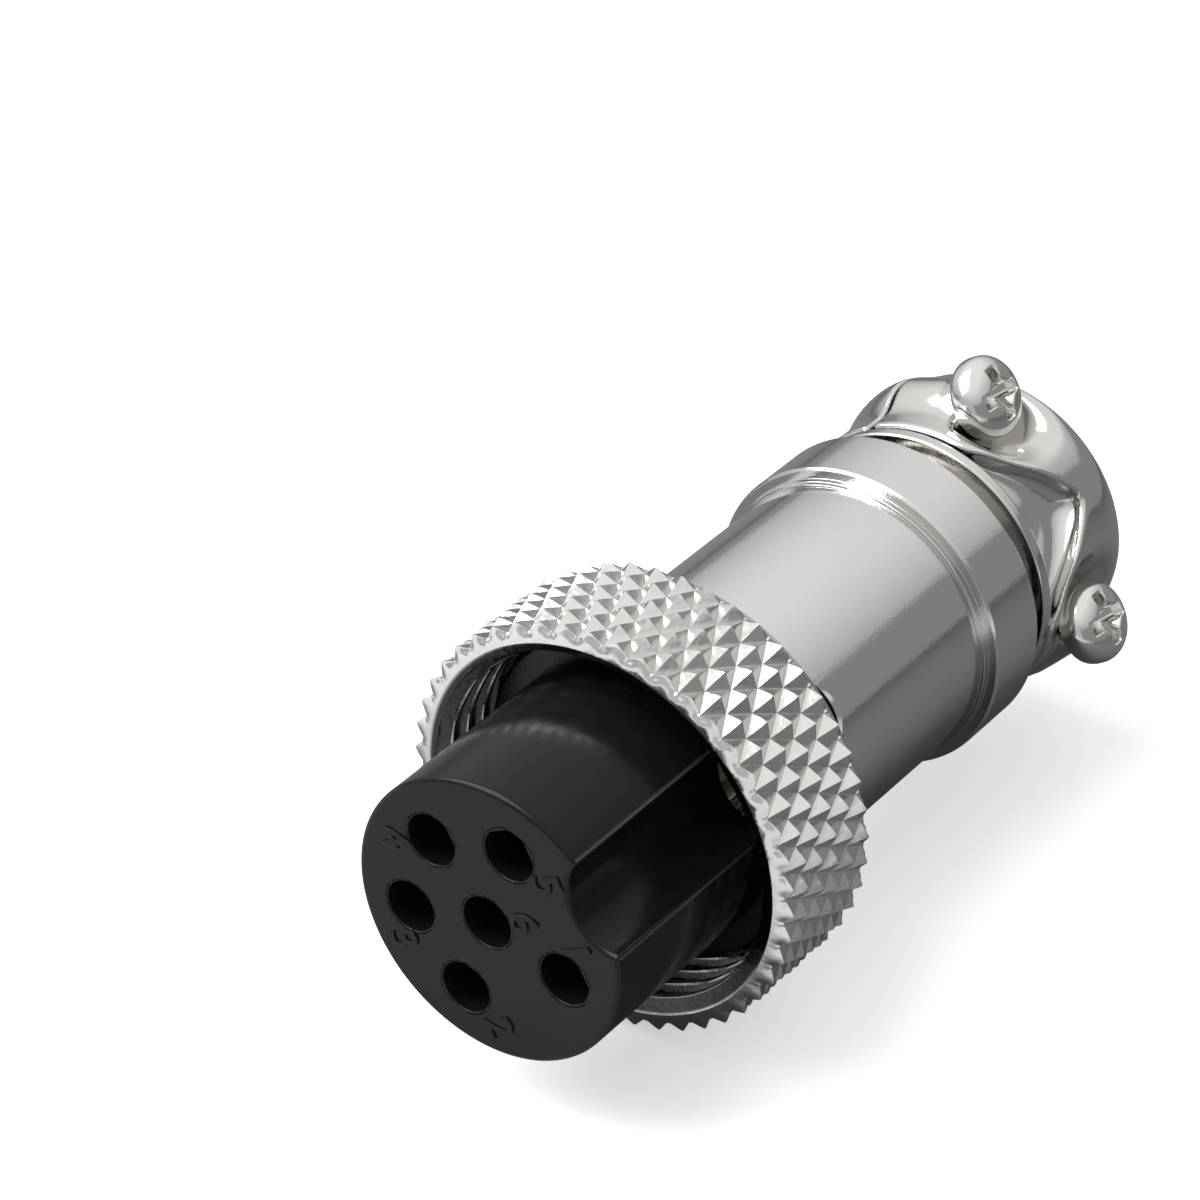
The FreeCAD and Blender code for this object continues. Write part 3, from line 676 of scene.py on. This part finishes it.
def make_barrel():
    """Barrel with its stepped collar, and the round hole for the set screw cut by a rod."""
    front, end = BARREL_LOW[1], BARREL_HIGH[1]
    collar = end - COLLAR_LENGTH
    step = collar - COLLAR_STEP_LENGTH
    thread = end - TAIL_THREAD_LENGTH
    corners = [
        (BARREL_BORE_R, front, 0.05), (BARREL_R, front, 0.1), (BARREL_R, step, 0.03),
        (COLLAR_STEP_R, step, 0.05), (COLLAR_STEP_R, collar, 0.03), (COLLAR_R - 0.1, collar, 0.03),
        (COLLAR_R, collar + 0.1, 0.04), (COLLAR_R, end - 0.45, 0.15), (COLLAR_R - 0.45, end, 0.1),
        (TAIL_THREAD_R, end, 0.05), (TAIL_THREAD_R, thread, 0.02), (BARREL_BORE_R, thread, 0.02),
    ]
    barrel = lathe("barrel_tube", corners, "shell", ("barrel",))
    low, high = span("set_screw")
    middle = (low + high) / 2
    cutter = hole_cutter(middle[1], clock_of(middle[0], middle[2]))
    cut = barrel.modifiers.new("hole", "BOOLEAN")
    cut.operation = "DIFFERENCE"
    cut.object = cutter
    cut.solver = "EXACT"
    bpy.context.view_layer.update()
    evaluated = barrel.evaluated_get(bpy.context.evaluated_depsgraph_get())
    made = bpy.data.meshes.new_from_object(evaluated)
    barrel.modifiers.clear()
    barrel.data = made
    made.set_sharp_from_angle(angle=math.radians(40))
    bpy.data.objects.remove(cutter)


def make_flange():
    """Retaining ring: a sleeve in the barrel's bore with a flange in front of the nut's lip."""
    front, end, flange_r = RING_LOW[1], RING_HIGH[1], RING_HIGH[0]
    corners = [
        (SLEEVE_BORE_R, front, 0.05), (flange_r, front, 0.15), (flange_r, front + FLANGE_LENGTH, 0.05),
        (BARREL_BORE_R, front + FLANGE_LENGTH, 0.02), (BARREL_BORE_R, end, 0.05), (SLEEVE_BORE_R, end, 0.05),
    ]
    lathe("flange_ring", corners, "shell", ("retaining_ring",))


def make_tail():
    """Threaded tail with the ring behind the collar."""
    start, end = TAIL_LOW[1], BARREL_HIGH[1]
    ring = end + RING_PLACE
    thread_r = TAIL_THREAD_R - TAIL_THREAD_GAP
    corners = [
        (TAIL_BORE_R, start, 0.05), (thread_r, start, 0.1), (thread_r, end - TAIL_THREAD_GAP, 0.02),
        (TAIL_NECK_R, end, 0.02), (TAIL_NECK_R, ring, 0.15), (RING_R, ring, 0.12),
        (RING_R, ring + RING_LENGTH, 0.16), (CABLE_R, ring + RING_LENGTH, 0.05), (TAIL_BORE_R, ring, 0.05),
    ]
    lathe("tail_ring", corners, "shell")


def from_screws(t, y):
    """Distance from the nearer clamp screw's axis, at t across the clamp and y along the plug."""
    return np.sqrt((np.abs(t) - SCREW_REACH) ** 2 + (y - SCREW_PLACE) ** 2)


def jaw_field(t, y, h):
    """Both jaws and all four ears before the split. A neck about the axis meets a crown whose front edge is
    a V over each jaw, y = front + depth (1 - |t| / width); the crown rounds off at the rear, the upper ears
    taper up from the split, the lower ones end in a parabola R (1 - u^2), and the bore flares at its mouth."""
    start, end = JAW_FRONT, JAW_END
    r = np.sqrt(t * t + h * h)
    lip = np.clip(1 - (y - start) / JAW_LIP_LENGTH, 0.0, 1.0)
    neck = r - JAW_NECK_R - (JAW_LIP_R - JAW_NECK_R) * lip ** 2
    from_middle = np.sqrt(t * t + JAW_NOTCH_ROUND ** 2) - JAW_NOTCH_ROUND
    edge = start + JAW_NOTCH_START + JAW_NOTCH_DEPTH * (1 - from_middle / JAW_NOTCH_HALF_WIDTH)
    rear = np.clip((y - end + JAW_REAR_LENGTH) / JAW_REAR_LENGTH, 0.0, 1.0)
    crown_r = JAW_REAR_R + (JAW_CROWN_R - JAW_REAR_R) * np.sqrt(1 - rear ** 2)
    crown = smooth_max(r - crown_r, 0.8 * (edge - y), 0.25)
    body = smooth_min(neck, crown, JAW_CROWN_BLEND)
    body = smooth_max(body, y - end, JAW_END_BLEND)
    taper = np.clip((EAR_TAPER_TOP - h) / (EAR_TAPER_TOP - SPLIT_HEIGHT), 0.0, 1.0)
    drop = np.clip((SPLIT_HEIGHT - h) / EAR_BOTTOM_REACH, 0.0, 1.2)
    ear_r = EAR_TOP_R + (EAR_SPLIT_R - EAR_TOP_R) * taper - EAR_SPLIT_R * drop ** 2
    ears = smooth_max(from_screws(t, y) - ear_r, h - EAR_TOP, JAW_EDGE_BLEND)
    solid = smooth_min(body, ears, JAW_EAR_BLEND)
    solid = smooth_max(solid, start - y, JAW_EDGE_BLEND)
    bore = CABLE_R - r
    mouth = (CABLE_R + JAW_MOUTH_FLARE - np.clip(end - y, 0, 2) * 1.1) - r
    return smooth_max(smooth_max(solid, bore, 0.1), mouth, 0.3)


def jaw_surface(field, low, high):
    """Points and faces of a jaw between two heights, turned to the clamp's clock angle."""
    start = (-JAW_BOX_HALF_WIDTH, JAW_FRONT - JAW_BOX_MARGIN, low)
    end = (JAW_BOX_HALF_WIDTH, JAW_END + JAW_BOX_MARGIN, high)
    points, faces = surface_of(field, start, end, JAW_GRID_STEP)
    return clock_points(points, CLAMP_CLOCK), faces


def make_saddle():
    """Near jaw: the upper side of the split, with a pocket for each screw head and its free hole."""
    split = SPLIT_HEIGHT + SPLIT_GAP / 2

    def field(t, y, h):
        """The jaw above the split, less pockets, holes and the gap in front of it."""
        solid = smooth_max(jaw_field(t, y, h), split - h, JAW_EDGE_BLEND)
        solid = smooth_max(solid, JAW_FRONT + 0.15 - y, 0.3)
        from_screw = from_screws(t, y)
        beside = from_screw - HEAD_R - POCKET_GAP - POCKET_FLARE * (h - EAR_TOP)
        pocket = smooth_max(beside, EAR_TOP - h, 0.5)
        solid = smooth_max(solid, -pocket, 0.45)
        return np.maximum(solid, SCREW_R + 0.1 - from_screw)

    points, faces = jaw_surface(field, 0.2, JAW_BOX_REACH)
    finish_piece("saddle", points, faces, "saddle", ("clamp_saddle",))


def make_far_jaw():
    """Far jaw: the lower side of the split, with the tapped ears."""
    split = SPLIT_HEIGHT - SPLIT_GAP / 2

    def field(t, y, h):
        """The jaw below the split, less the tapped holes."""
        solid = smooth_max(jaw_field(t, y, h), h - split, JAW_EDGE_BLEND)
        return np.maximum(solid, SCREW_R + 0.05 - from_screws(t, y))

    points, faces = jaw_surface(field, -JAW_BOX_REACH, 0.7)
    finish_piece("far_jaw", points, faces, "shell", ("clamp_body",))


def head_field(x, y, z):
    """A screw head above its seat: (r / R)^n + (|z - c| / H)^n = 1, less a recess of two crossed slots that
    taper downwards, with a cone between them and a floor that rises outwards."""
    r = np.sqrt(x * x + y * y)
    rise = np.abs(z - HEAD_MIDDLE) / (HEAD_HEIGHT - HEAD_MIDDLE)
    dome = ((r / HEAD_R) ** HEAD_POWER + rise ** HEAD_POWER) ** (1 / HEAD_POWER) - 1
    solid = smooth_max(dome * 1.2, -z, 0.15)
    down = HEAD_HEIGHT - z
    wide = CROSS_HALF_WIDTH - 0.10 * down
    reach = CROSS_REACH - 0.45 * down
    slot_a = smooth_max(np.abs(x) - wide, np.abs(y) - reach, 0.1)
    slot_b = smooth_max(np.abs(y) - wide, np.abs(x) - reach, 0.1)
    cone = 0.8 * (r - CROSS_CONE_R + 0.75 * down)
    floor = CROSS_FLOOR - z + 0.35 * r
    recess = smooth_max(smooth_min(smooth_min(slot_a, slot_b, 0.15), cone, 0.15), floor, 0.1)
    return smooth_max(solid, -recess, 0.08)


def screw_shank():
    """Points and faces of a threaded shank that stands on the origin's axis. Its radius falls from the
    crests by d (1 - 2 |p - whole p|) over the thread's phase p, and a fan closes its short conical tip."""
    turn = np.linspace(0.0, 2 * np.pi, SCREW_COLUMNS, endpoint=False)[None]
    height = np.linspace(SCREW_TIP, EAR_TOP + 0.1, SCREW_ROWS)[:, None]
    phase = height / SCREW_PITCH - turn / (2 * np.pi)
    radius = SCREW_R - SCREW_THREAD_DEPTH * (1 - 2 * np.abs(phase - np.round(phase)))
    radius = np.minimum(radius, SCREW_TIP_R + (height - SCREW_TIP) * 0.8)
    x, y = radius * np.sin(turn), radius * np.cos(turn)
    points = np.stack([x, y, np.broadcast_to(height, x.shape)], axis=-1).reshape(-1, 3)
    points = np.concatenate([points, [[0, 0, SCREW_TIP]]])
    first = np.arange(SCREW_COLUMNS)
    fan = np.stack([np.full(SCREW_COLUMNS, len(points) - 1), first, (first + 1) % SCREW_COLUMNS], axis=-1)
    return points, [*grid_faces(SCREW_ROWS, SCREW_COLUMNS, False, True), *fan]


def make_screw(number):
    """Clamp screw: domed head with a cross recess, and a threaded shank below it."""
    place = np.array([SCREW_REACH * (-1 if number == 1 else 1), SCREW_PLACE, 0.0])
    body = "screw_%d" % number
    points, faces = surface_of(head_field, *HEAD_BOX, HEAD_GRID_STEP)
    points = clock_points(points + place + [0.0, 0.0, EAR_TOP], CLAMP_CLOCK)
    finish_piece("screw_head_%d" % number, points, faces, body, ("clamp_screw_%d" % number,))
    points, faces = screw_shank()
    shank = finish_piece("screw_shank_%d" % number, clock_points(points + place, CLAMP_CLOCK), faces, body)
    repair = bmesh.new()
    repair.from_mesh(shank.data)
    bmesh.ops.recalc_face_normals(repair, faces=repair.faces)
    repair.to_mesh(shank.data)
    repair.free()


def add_node(tree, kind, values=None, sources=None, **settings):
    """A node with its settings, the values of some inputs and the sources of others."""
    node = tree.nodes.new(kind)
    for label, setting in settings.items():
        setattr(node, label, setting)
    for label, value in (values or {}).items():
        node.inputs[label].default_value = value
    for label, source in (sources or {}).items():
        tree.links.new(source, node.inputs[label])
    return node


def greatest(tree, value, *others):
    """The greatest of several values."""
    for other in others:
        node = add_node(tree, "ShaderNodeMath", None, {0: value, 1: other}, operation="MAXIMUM")
        value = node.outputs["Value"]
    return value


def scaled(tree, colour, factor):
    """A colour times a value."""
    sources = {0: colour, "Scale": factor}
    return add_node(tree, "ShaderNodeVectorMath", sources=sources, operation="SCALE").outputs["Vector"]


def ramp(tree, source, low, high, from_low=0.35, from_high=0.65):
    """A value that runs from low to high as the source runs over a range, by default a noise's middle one."""
    values = {"From Min": from_low, "From Max": from_high, "To Min": low, "To Max": high}
    return add_node(tree, "ShaderNodeMapRange", values, {"Value": source}).outputs["Result"]


def tone_mix(tree, factor, first, second):
    """A colour between two tones, the first of which may be a linked colour."""
    node = add_node(tree, "ShaderNodeMix", data_type="RGBA")
    if isinstance(first, tuple):
        node.inputs["A"].default_value = (*first, 1.0)
    else:
        tree.links.new(first, node.inputs["A"])
    node.inputs["B"].default_value = (*second, 1.0)
    tree.links.new(factor, node.inputs["Factor"])
    return node.outputs["Result"]


def bump(tree, height, distance, normal=None):
    """A bump whose height is a value times a distance in millimetres, laid over another normal if given."""
    sources = {"Height": height}
    if normal is not None:
        sources["Normal"] = normal
    values = {"Strength": 1.0, "Distance": distance * MM}
    return add_node(tree, "ShaderNodeBump", values, sources).outputs["Normal"]


def node_group(name, inputs, outputs, build):
    """A shader node group with named sockets, made once."""
    if name in bpy.data.node_groups:
        return bpy.data.node_groups[name]
    group = bpy.data.node_groups.new(name, "ShaderNodeTree")
    for label, kind, value in inputs:
        socket = group.interface.new_socket(name=label, in_out="INPUT", socket_type=kind)
        if value is not None:
            socket.default_value = value
    for label, kind in outputs:
        group.interface.new_socket(name=label, in_out="OUTPUT", socket_type=kind)
    build(group, group.nodes.new("NodeGroupInput"), group.nodes.new("NodeGroupOutput"))
    return group


def skin_group():
    """The skin of plated metal and of moulded plastic: fine pits, faint lines and slow changes of tone, all
    from one position."""
    def build(group, source, result):
        """Three noises: pits, stretched lines and a slow cloud."""
        place = source.outputs["Vector"]
        pits = add_node(group, "ShaderNodeTexNoise", {"Detail": 3.0},
                        {"Vector": place, "Scale": source.outputs["Pit Scale"]})
        cloud = add_node(group, "ShaderNodeTexNoise", {"Scale": 220.0, "Detail": 2.0}, {"Vector": place})
        stretched = add_node(group, "ShaderNodeMapping", None,
                             {"Vector": place, "Scale": source.outputs["Line Stretch"]})
        lines = add_node(group, "ShaderNodeTexNoise", {"Scale": 1.0, "Detail": 2.0},
                         {"Vector": stretched.outputs["Vector"]})
        for label, noise in (("Pits", pits), ("Cloud", cloud), ("Lines", lines)):
            group.links.new(noise.outputs["Fac"], result.inputs[label])

    inputs = [("Vector", "NodeSocketVector", None), ("Pit Scale", "NodeSocketFloat", 9000.0),
              ("Line Stretch", "NodeSocketVector", (3000.0, 300.0, 3000.0))]
    outputs = [("Pits", "NodeSocketFloat"), ("Cloud", "NodeSocketFloat"), ("Lines", "NodeSocketFloat")]
    return node_group("plated_surface", inputs, outputs, build)


def bore_group():
    """Brightness over a nut, a painted shade in its bore: low on the flanks and roots of its thread, by distance r
    from its axis, and full on the thread's crests, outside the mouth and on the lip at the rear."""
    def build(group, source, result):
        """Ranges of r from the flanks in to the crests and from the roots out to the mouth, and of y."""
        split = add_node(group, "ShaderNodeSeparateXYZ", None, {"Vector": source.outputs["Vector"]})
        flat = add_node(group, "ShaderNodeCombineXYZ", None, {axis: split.outputs[axis] for axis in "XZ"})
        length = add_node(group, "ShaderNodeVectorMath", None, {0: flat.outputs["Vector"]},
                          operation="LENGTH").outputs["Value"]
        crests = ramp(group, length, 1.0, BORE_PAINTED_SHADE, *(r * MM for r in BORE_CREST_RANGE))
        mouth = ramp(group, length, BORE_PAINTED_SHADE, 1.0, *(r * MM for r in BORE_MOUTH_RANGE))
        lip = NUT_REAR - NUT_LIP_LENGTH
        behind = ramp(group, split.outputs["Y"], 0.0, 1.0, (lip + 0.1) * MM, (lip + 0.2) * MM)
        group.links.new(greatest(group, crests, mouth, behind), result.inputs["Brightness"])

    inputs, outputs = [("Vector", "NodeSocketVector", None)], [("Brightness", "NodeSocketFloat")]
    return node_group("bore_shade", inputs, outputs, build)


def new_finish(name, pit_scale, stretch):
    """A material with its shader, its object coordinates and its skin of pits, lines and cloud."""
    material = bpy.data.materials.new(name)
    material.use_nodes = True
    tree = material.node_tree
    place = add_node(tree, "ShaderNodeTexCoord").outputs["Object"]
    skin = add_node(tree, "ShaderNodeGroup", node_tree=skin_group())
    skin.inputs["Pit Scale"].default_value = pit_scale
    skin.inputs["Line Stretch"].default_value = stretch
    tree.links.new(place, skin.inputs["Vector"])
    return material, tree.nodes["Principled BSDF"], place, skin.outputs


def plated_metal(name, tones, rough, pit_scale, pit_height, line_height, stretch, bore=False, socket=False):
    """A metal finish: two tones by the cloud, roughness by the pits, and a bump of pits and lines. The bore of a
    nut gets painted shade on its thread's flanks and roots, and a socket gets painted shade, black and without
    sheen, in front of its range along the plug."""
    if name in bpy.data.materials:
        return bpy.data.materials[name]
    material, shader, place, skin = new_finish(name, pit_scale, stretch)
    tree = material.node_tree
    shader.inputs["Metallic"].default_value = 1.0
    tone = tone_mix(tree, skin["Cloud"], *tones)
    # Painted shade on the nut's thread: the tone is scaled by the bore's brightness.
    if bore:
        shade = add_node(tree, "ShaderNodeGroup", node_tree=bore_group())
        tree.links.new(place, shade.inputs["Vector"])
        tone = scaled(tree, tone, shade.outputs["Brightness"])
    # Painted shade on a contact: black, not metal and without sheen where it sits in the nose's holes, rising to
    # its own tone further back.
    if socket:
        split = add_node(tree, "ShaderNodeSeparateXYZ", None, {"Vector": place})
        deep = ramp(tree, split.outputs["Y"], 0.0, 1.0, *(y * MM for y in SOCKET_PAINTED_SHADE_RANGE))
        tone = scaled(tree, tone, deep)
        tree.links.new(deep, shader.inputs["Metallic"])
        shader.inputs["Specular IOR Level"].default_value = 0.0
    tree.links.new(tone, shader.inputs["Base Color"])
    tree.links.new(ramp(tree, skin["Pits"], *rough), shader.inputs["Roughness"])
    pitted = bump(tree, skin["Pits"], pit_height)
    tree.links.new(bump(tree, skin["Lines"], line_height, pitted), shader.inputs["Normal"])
    return material


def bright_nickel():
    """Bright plate on the screws."""
    return plated_metal("screw_plate", tones=((0.66, 0.65, 0.63), (0.74, 0.73, 0.71)), rough=(0.1, 0.16),
                        pit_scale=7000.0, pit_height=0.003, line_height=0.003,
                        stretch=(2500.0, 500.0, 2500.0))


def knurled_nickel():
    """Bright plate over the rolled knurl, uneven at a few tenths of a millimetre, with painted shade in the bore.
    """
    return plated_metal("knurl_plate", tones=((0.62, 0.61, 0.59), (0.74, 0.73, 0.71)), rough=(0.14, 0.24),
                        pit_scale=7000.0, pit_height=0.006, line_height=0.022,
                        stretch=(2200.0, 1500.0, 2200.0), bore=True)


def shaded_nickel():
    """Plate on the flange deep inside the nut, near black: a painted shade."""
    return plated_metal("flange_plate", tones=((0.02, 0.02, 0.019), (0.035, 0.035, 0.034)),
                        rough=(0.25, 0.35), pit_scale=7000.0, pit_height=0.004, line_height=0.003,
                        stretch=(2500.0, 500.0, 2500.0))


def satin_nickel():
    """Satin plate on the turned barrel, with fine speckle."""
    return plated_metal("barrel_plate", tones=((0.6, 0.595, 0.58), (0.67, 0.66, 0.645)), rough=(0.05, 0.1),
                        pit_scale=9000.0, pit_height=0.004, line_height=0.001,
                        stretch=(900.0, 4000.0, 900.0))


def cast_nickel():
    """Bright plate over a casting: smoother, with slow waves."""
    return plated_metal("casting_plate", tones=((0.58, 0.57, 0.55), (0.68, 0.67, 0.65)), rough=(0.08, 0.14),
                        pit_scale=1400.0, pit_height=0.006, line_height=0.002,
                        stretch=(1500.0, 1500.0, 1500.0))


def contact_plate():
    """Pale plate on the contacts, with painted shade: black and without sheen where they sit in the nose's holes.
    """
    return plated_metal("socket_plate", tones=((0.6, 0.56, 0.46), (0.7, 0.66, 0.56)), rough=(0.2, 0.3),
                        pit_scale=6000.0, pit_height=0.003, line_height=0.001,
                        stretch=(1500.0, 400.0, 1500.0), socket=True)


def black_moulding():
    """Black moulded plastic: near black, half gloss, with a fine skin, painted shade that darkens the holes and
    dims their sheen, and a paler painted highlight along the keyway's edges.
    """
    name = "moulded_black"
    if name in bpy.data.materials:
        return bpy.data.materials[name]
    material, shader, _, skin = new_finish(name, 5000.0, (1200.0, 1200.0, 1200.0))
    tree = material.node_tree
    recess = add_node(tree, "ShaderNodeAttribute", attribute_name="recess").outputs["Fac"]
    painted_edge_highlight = add_node(tree, "ShaderNodeAttribute", attribute_name="painted_edge_highlight").outputs["Fac"]
    tone = tone_mix(tree, skin["Cloud"], (0.005, 0.005, 0.005), (0.009, 0.0088, 0.0086))
    # Painted shade in the holes: the tone falls as the walls go in.
    tone = scaled(tree, tone, ramp(tree, recess, 1.0, 0.1, 0.0, 1.0))
    # Painted highlight: a paler tone along the keyway's edges.
    tone = tone_mix(tree, painted_edge_highlight, tone, (0.07, 0.069, 0.067))
    tree.links.new(tone, shader.inputs["Base Color"])
    # Painted shade: less sheen in the holes as the walls go in.
    tree.links.new(ramp(tree, recess, 0.18, 0.01, 0.0, 1.0), shader.inputs["Specular IOR Level"])
    tree.links.new(ramp(tree, skin["Lines"], 0.15, 0.24), shader.inputs["Roughness"])
    tree.links.new(bump(tree, skin["Pits"], 0.004), shader.inputs["Normal"])
    return material


# The finish of each slot for the CAD nodes, and the finish of each piece made here. The frame brings plain
# materials with the slots' own names, so the finishes have other names.
SLOT_FINISHES = {
    "black_moulding": black_moulding,
    "bright_nickel": bright_nickel,
    "satin_nickel": satin_nickel,
    "cast_nickel": cast_nickel,
    "contact_plate": contact_plate,
}
PIECE_FINISHES = {
    "nose": black_moulding,
    "knurled_nut": knurled_nickel,
    "barrel_tube": satin_nickel,
    "flange_ring": shaded_nickel,
    "tail_ring": cast_nickel,
    "saddle": cast_nickel,
    "far_jaw": cast_nickel,
    "screw_head_1": bright_nickel,
    "screw_shank_1": bright_nickel,
    "screw_head_2": bright_nickel,
    "screw_shank_2": bright_nickel,
}


def dress(piece, finish):
    """The finish as the piece's only material."""
    piece.data.materials.clear()
    piece.data.materials.append(finish())


def dress_all():
    """Every CAD node takes the finish of its slot, and every piece its own."""
    for sub in frame["record"]["subparts"]:
        dress(NODES[sub["node"]], SLOT_FINISHES[sub["material_slot"]])
    for name, finish in PIECE_FINISHES.items():
        dress(bpy.data.objects[name], finish)
    for number in NUMERAL_PLACES:
        dress(bpy.data.objects["numeral_%d" % number], black_moulding)


def by_ray(tree, *labels):
    """1 where the ray is of one of the named kinds, else 0."""
    path = add_node(tree, "ShaderNodeLightPath")
    return greatest(tree, *(path.outputs[label] for label in labels))


def make_floor():
    """Floor under the nut: pale to the camera. Other rays meet a light tone in front of the plug and a dark
    one behind it, so that metal over it keeps its dark side."""
    size, level = FLOOR_HALF_SIZE * MM, cad_bounds[0][2]
    mesh = bpy.data.meshes.new("floor")
    mesh.from_pydata([(-size, -size, level), (size, -size, level), (size, size, level), (-size, size, level)],
                     [], [(0, 1, 2, 3)])
    floor = add_object("floor", mesh)
    material = bpy.data.materials.new("pale_floor")
    material.use_nodes = True
    tree = material.node_tree
    shader = tree.nodes["Principled BSDF"]
    seen = by_ray(tree, "Is Camera Ray")
    place = add_node(tree, "ShaderNodeTexCoord")
    split = add_node(tree, "ShaderNodeSeparateXYZ", None, {"Vector": place.outputs["Object"]})
    tone = ramp(tree, split.outputs["Y"], *FLOOR_TONES, *(y * MM for y in FLOOR_CHANGE))
    colour = add_node(tree, "ShaderNodeMix", {"B": FLOOR_PALE}, {"Factor": seen, "A": tone})
    tree.links.new(colour.outputs["Result"], shader.inputs["Base Color"])
    shader.inputs["Emission Color"].default_value = (1.0, 1.0, 1.0, 1.0)
    tree.links.new(ramp(tree, seen, 0.0, FLOOR_GLOW, 0.0, 1.0), shader.inputs["Emission Strength"])
    shader.inputs["Roughness"].default_value = 0.9
    shader.inputs["Specular IOR Level"].default_value = 0.1
    floor.data.materials.append(material)


def make_light():
    """A wide soft light over the left front that faces the plug."""
    lamp = bpy.data.lights.new("key", "AREA")
    lamp.shape = "RECTANGLE"
    lamp.size, lamp.size_y = LIGHT_SIZE * MM, LIGHT_SIZE * MM
    lamp.energy = LIGHT_POWER
    light = add_object("key", lamp)
    place, target = Vector(LIGHT_PLACE) * MM, Vector(LIGHT_TARGET) * MM
    light.location = place
    light.rotation_euler = (target - place).to_track_quat("-Z", "Y").to_euler()


def make_world():
    """White for the camera. Mirrors see a grey room, a ceiling that hangs lower on the left, by z + tilt x of
    the ray's direction, and a pale card in front. Other rays get a plain grey fill."""
    world = bpy.data.worlds.new("studio")
    bpy.context.scene.world = world
    world.use_nodes = True
    tree = world.node_tree
    background = tree.nodes["Background"]
    place = add_node(tree, "ShaderNodeTexCoord")
    split = add_node(tree, "ShaderNodeSeparateXYZ", None, {"Vector": place.outputs["Generated"]})
    axes = {0: split.outputs["X"], 2: split.outputs["Z"]}
    tilted = add_node(tree, "ShaderNodeMath", {1: CEILING_TILT}, axes, operation="MULTIPLY_ADD")
    height = tilted.outputs["Value"]
    low = ramp(tree, height, ROOM_GREY, CEILING_LOW, *CEILING_EDGE)
    rise = ramp(tree, height, 0.0, CEILING_RISE, CEILING_EDGE[1], CEILING_TOP)
    ceiling = add_node(tree, "ShaderNodeMath", None, {0: low, 1: rise}).outputs["Value"]
    card = ramp(tree, split.outputs["Y"], CARD_TONE, 0.0, *CARD_EDGE)
    mirrored = by_ray(tree, "Is Glossy Ray", "Is Transmission Ray")
    room = add_node(tree, "ShaderNodeMix", {"A": ROOM_FILL},
                    {"Factor": mirrored, "B": greatest(tree, ceiling, card)})
    strength = add_node(tree, "ShaderNodeMix", {"B": 1.0},
                        {"Factor": by_ray(tree, "Is Camera Ray"), "A": room.outputs["Result"]})
    background.inputs["Color"].default_value = (1.0, 1.0, 1.0, 1.0)
    tree.links.new(strength.outputs["Result"], background.inputs["Strength"])


def make_camera():
    """The photo's camera, from its fitted place and directions."""
    data = bpy.data.cameras.new("camera")
    data.lens = CAMERA_LENS
    data.sensor_width = SENSOR
    data.clip_start = 1 * MM
    camera = add_object("camera", data)
    right, up = Vector(CAMERA_RIGHT).normalized(), Vector(CAMERA_UP).normalized()
    back = right.cross(up)
    turn = Matrix((right, up, back)).transposed().to_4x4()
    camera.matrix_world = Matrix.Translation(Vector(CAMERA_PLACE) * MM) @ turn
    bpy.context.scene.camera = camera


make_camera()
make_nose()
make_numerals()
make_nut()
make_barrel()
make_flange()
make_tail()
make_far_jaw()
make_saddle()
for number in (1, 2):
    make_screw(number)
dress_all()
make_floor()
make_light()
make_world()
bpy.context.scene.view_settings.view_transform = "Standard"
